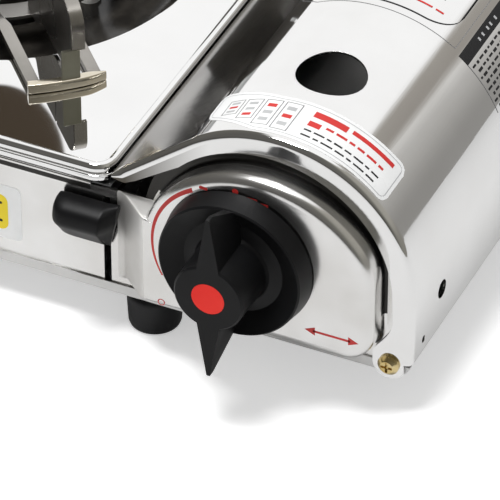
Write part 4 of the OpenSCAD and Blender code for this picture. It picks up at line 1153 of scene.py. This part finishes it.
def ellipse(tree, direction, centre, wide, high):
    """1 where a direction lies within a small ellipse round the centre, 0 outside it."""
    middle = Vector(centre).normalized()
    side = middle.cross(Vector((0, 0, 1))).normalized()
    parts = []
    for axis, size in ((side, wide), (side.cross(middle), high)):
        share = along_axis(tree, direction, axis / size)
        parts.append(calc(tree, "MULTIPLY", share, share))
    inside = step(tree, calc(tree, "ADD", *parts), 1.04, 0.96)
    ahead = calc(tree, "GREATER_THAN", along_axis(tree, direction, middle), 0.0)
    return calc(tree, "MULTIPLY", inside, ahead)


def room_colour(tree, direction):
    """What mirrored rays see: a white wall behind, duller ones elsewhere, a bright ceiling and the shade."""
    x, y, z = add(tree, "ShaderNodeSeparateXYZ", Vector=direction).outputs
    turn = calc(tree, "ARCTAN2", x, y)
    ramp = add(tree, "ShaderNodeValToRGB", Fac=calc(tree, "DIVIDE", calc(tree, "ADD", turn, pi), 2 * pi))
    stops = ramp.color_ramp.elements
    for i, (angle, colour) in enumerate(ROOM):
        stop = stops[i] if i < 2 else stops.new(1.0)
        stop.position = (angle + 180) / 360
        stop.color = (*colour, 1)
    gain = calc(tree, "MULTIPLY", step(tree, z, 0.0, FULL_HEIGHT), 1 - LOW_LIGHT)
    dim = calc(tree, "ADD", gain, LOW_LIGHT)
    edges = [step(tree, turn, *[radians(angle) for angle in edge]) for edge in (WHITE_LEFT, WHITE_RIGHT)]
    shade = calc(tree, "MAXIMUM", dim, calc(tree, "MULTIPLY", *edges))
    walls = mix_colours(tree, 1.0, ramp.outputs["Color"], shade, "MULTIPLY")
    ceiling = step(tree, calc(tree, "ADD", z, calc(tree, "MULTIPLY", y, CEILING_TILT)), *CEILING)
    room = mix_colours(tree, ceiling, walls, PURE_WHITE)
    return mix_colours(tree, ellipse(tree, direction, *HUNG), room, HUNG_COLOUR)


def make_world():
    """The room for mirrored rays, even light for matt surfaces, and white for the camera."""
    world = bpy.data.worlds.new("studio")
    bpy.context.scene.world = world
    world.use_nodes = True
    tree = world.node_tree
    coords = add(tree, "ShaderNodeTexCoord")
    path = add(tree, "ShaderNodeLightPath")
    room = room_colour(tree, coords.outputs["Generated"])
    lit = mix_colours(tree, path.outputs["Is Glossy Ray"], (*AMBIENT, 1.0), room)
    shown = mix_colours(tree, path.outputs["Is Camera Ray"], lit, PURE_WHITE)
    tree.links.new(shown, tree.nodes["Background"].inputs["Color"])


def make_lamp():
    """Softbox over the stove."""
    light = bpy.data.lights.new("overhead", "AREA")
    light.shape = "RECTANGLE"
    light.size = light.size_y = LAMP_SIZE
    light.energy = LAMP_POWER
    lamp = placed("overhead", light)
    lamp.location = LAMP_PLACE
    lamp.rotation_euler = (Vector(LAMP_PLACE) - Vector(LAMP_TARGET)).to_track_quat("Z", "Y").to_euler()


def make_camera():
    """Long lens at the height and side that the object is seen from."""
    azimuth, elevation = radians(AZIMUTH), radians(ELEVATION)
    back = Vector((sin(azimuth) * cos(elevation), -cos(azimuth) * cos(elevation), sin(elevation)))
    data = bpy.data.cameras.new("camera")
    data.sensor_width = 36
    data.lens = LENS
    data.clip_end = 50
    camera = placed("camera", data)
    camera.location = at(*CAMERA_PLACE)
    camera.rotation_euler = back.to_track_quat("Z", "Y").to_euler()
    bpy.context.scene.camera = camera


make_floor()
make_world()
make_camera()
make_lamp()
bpy.context.scene.view_settings.view_transform = "Standard"
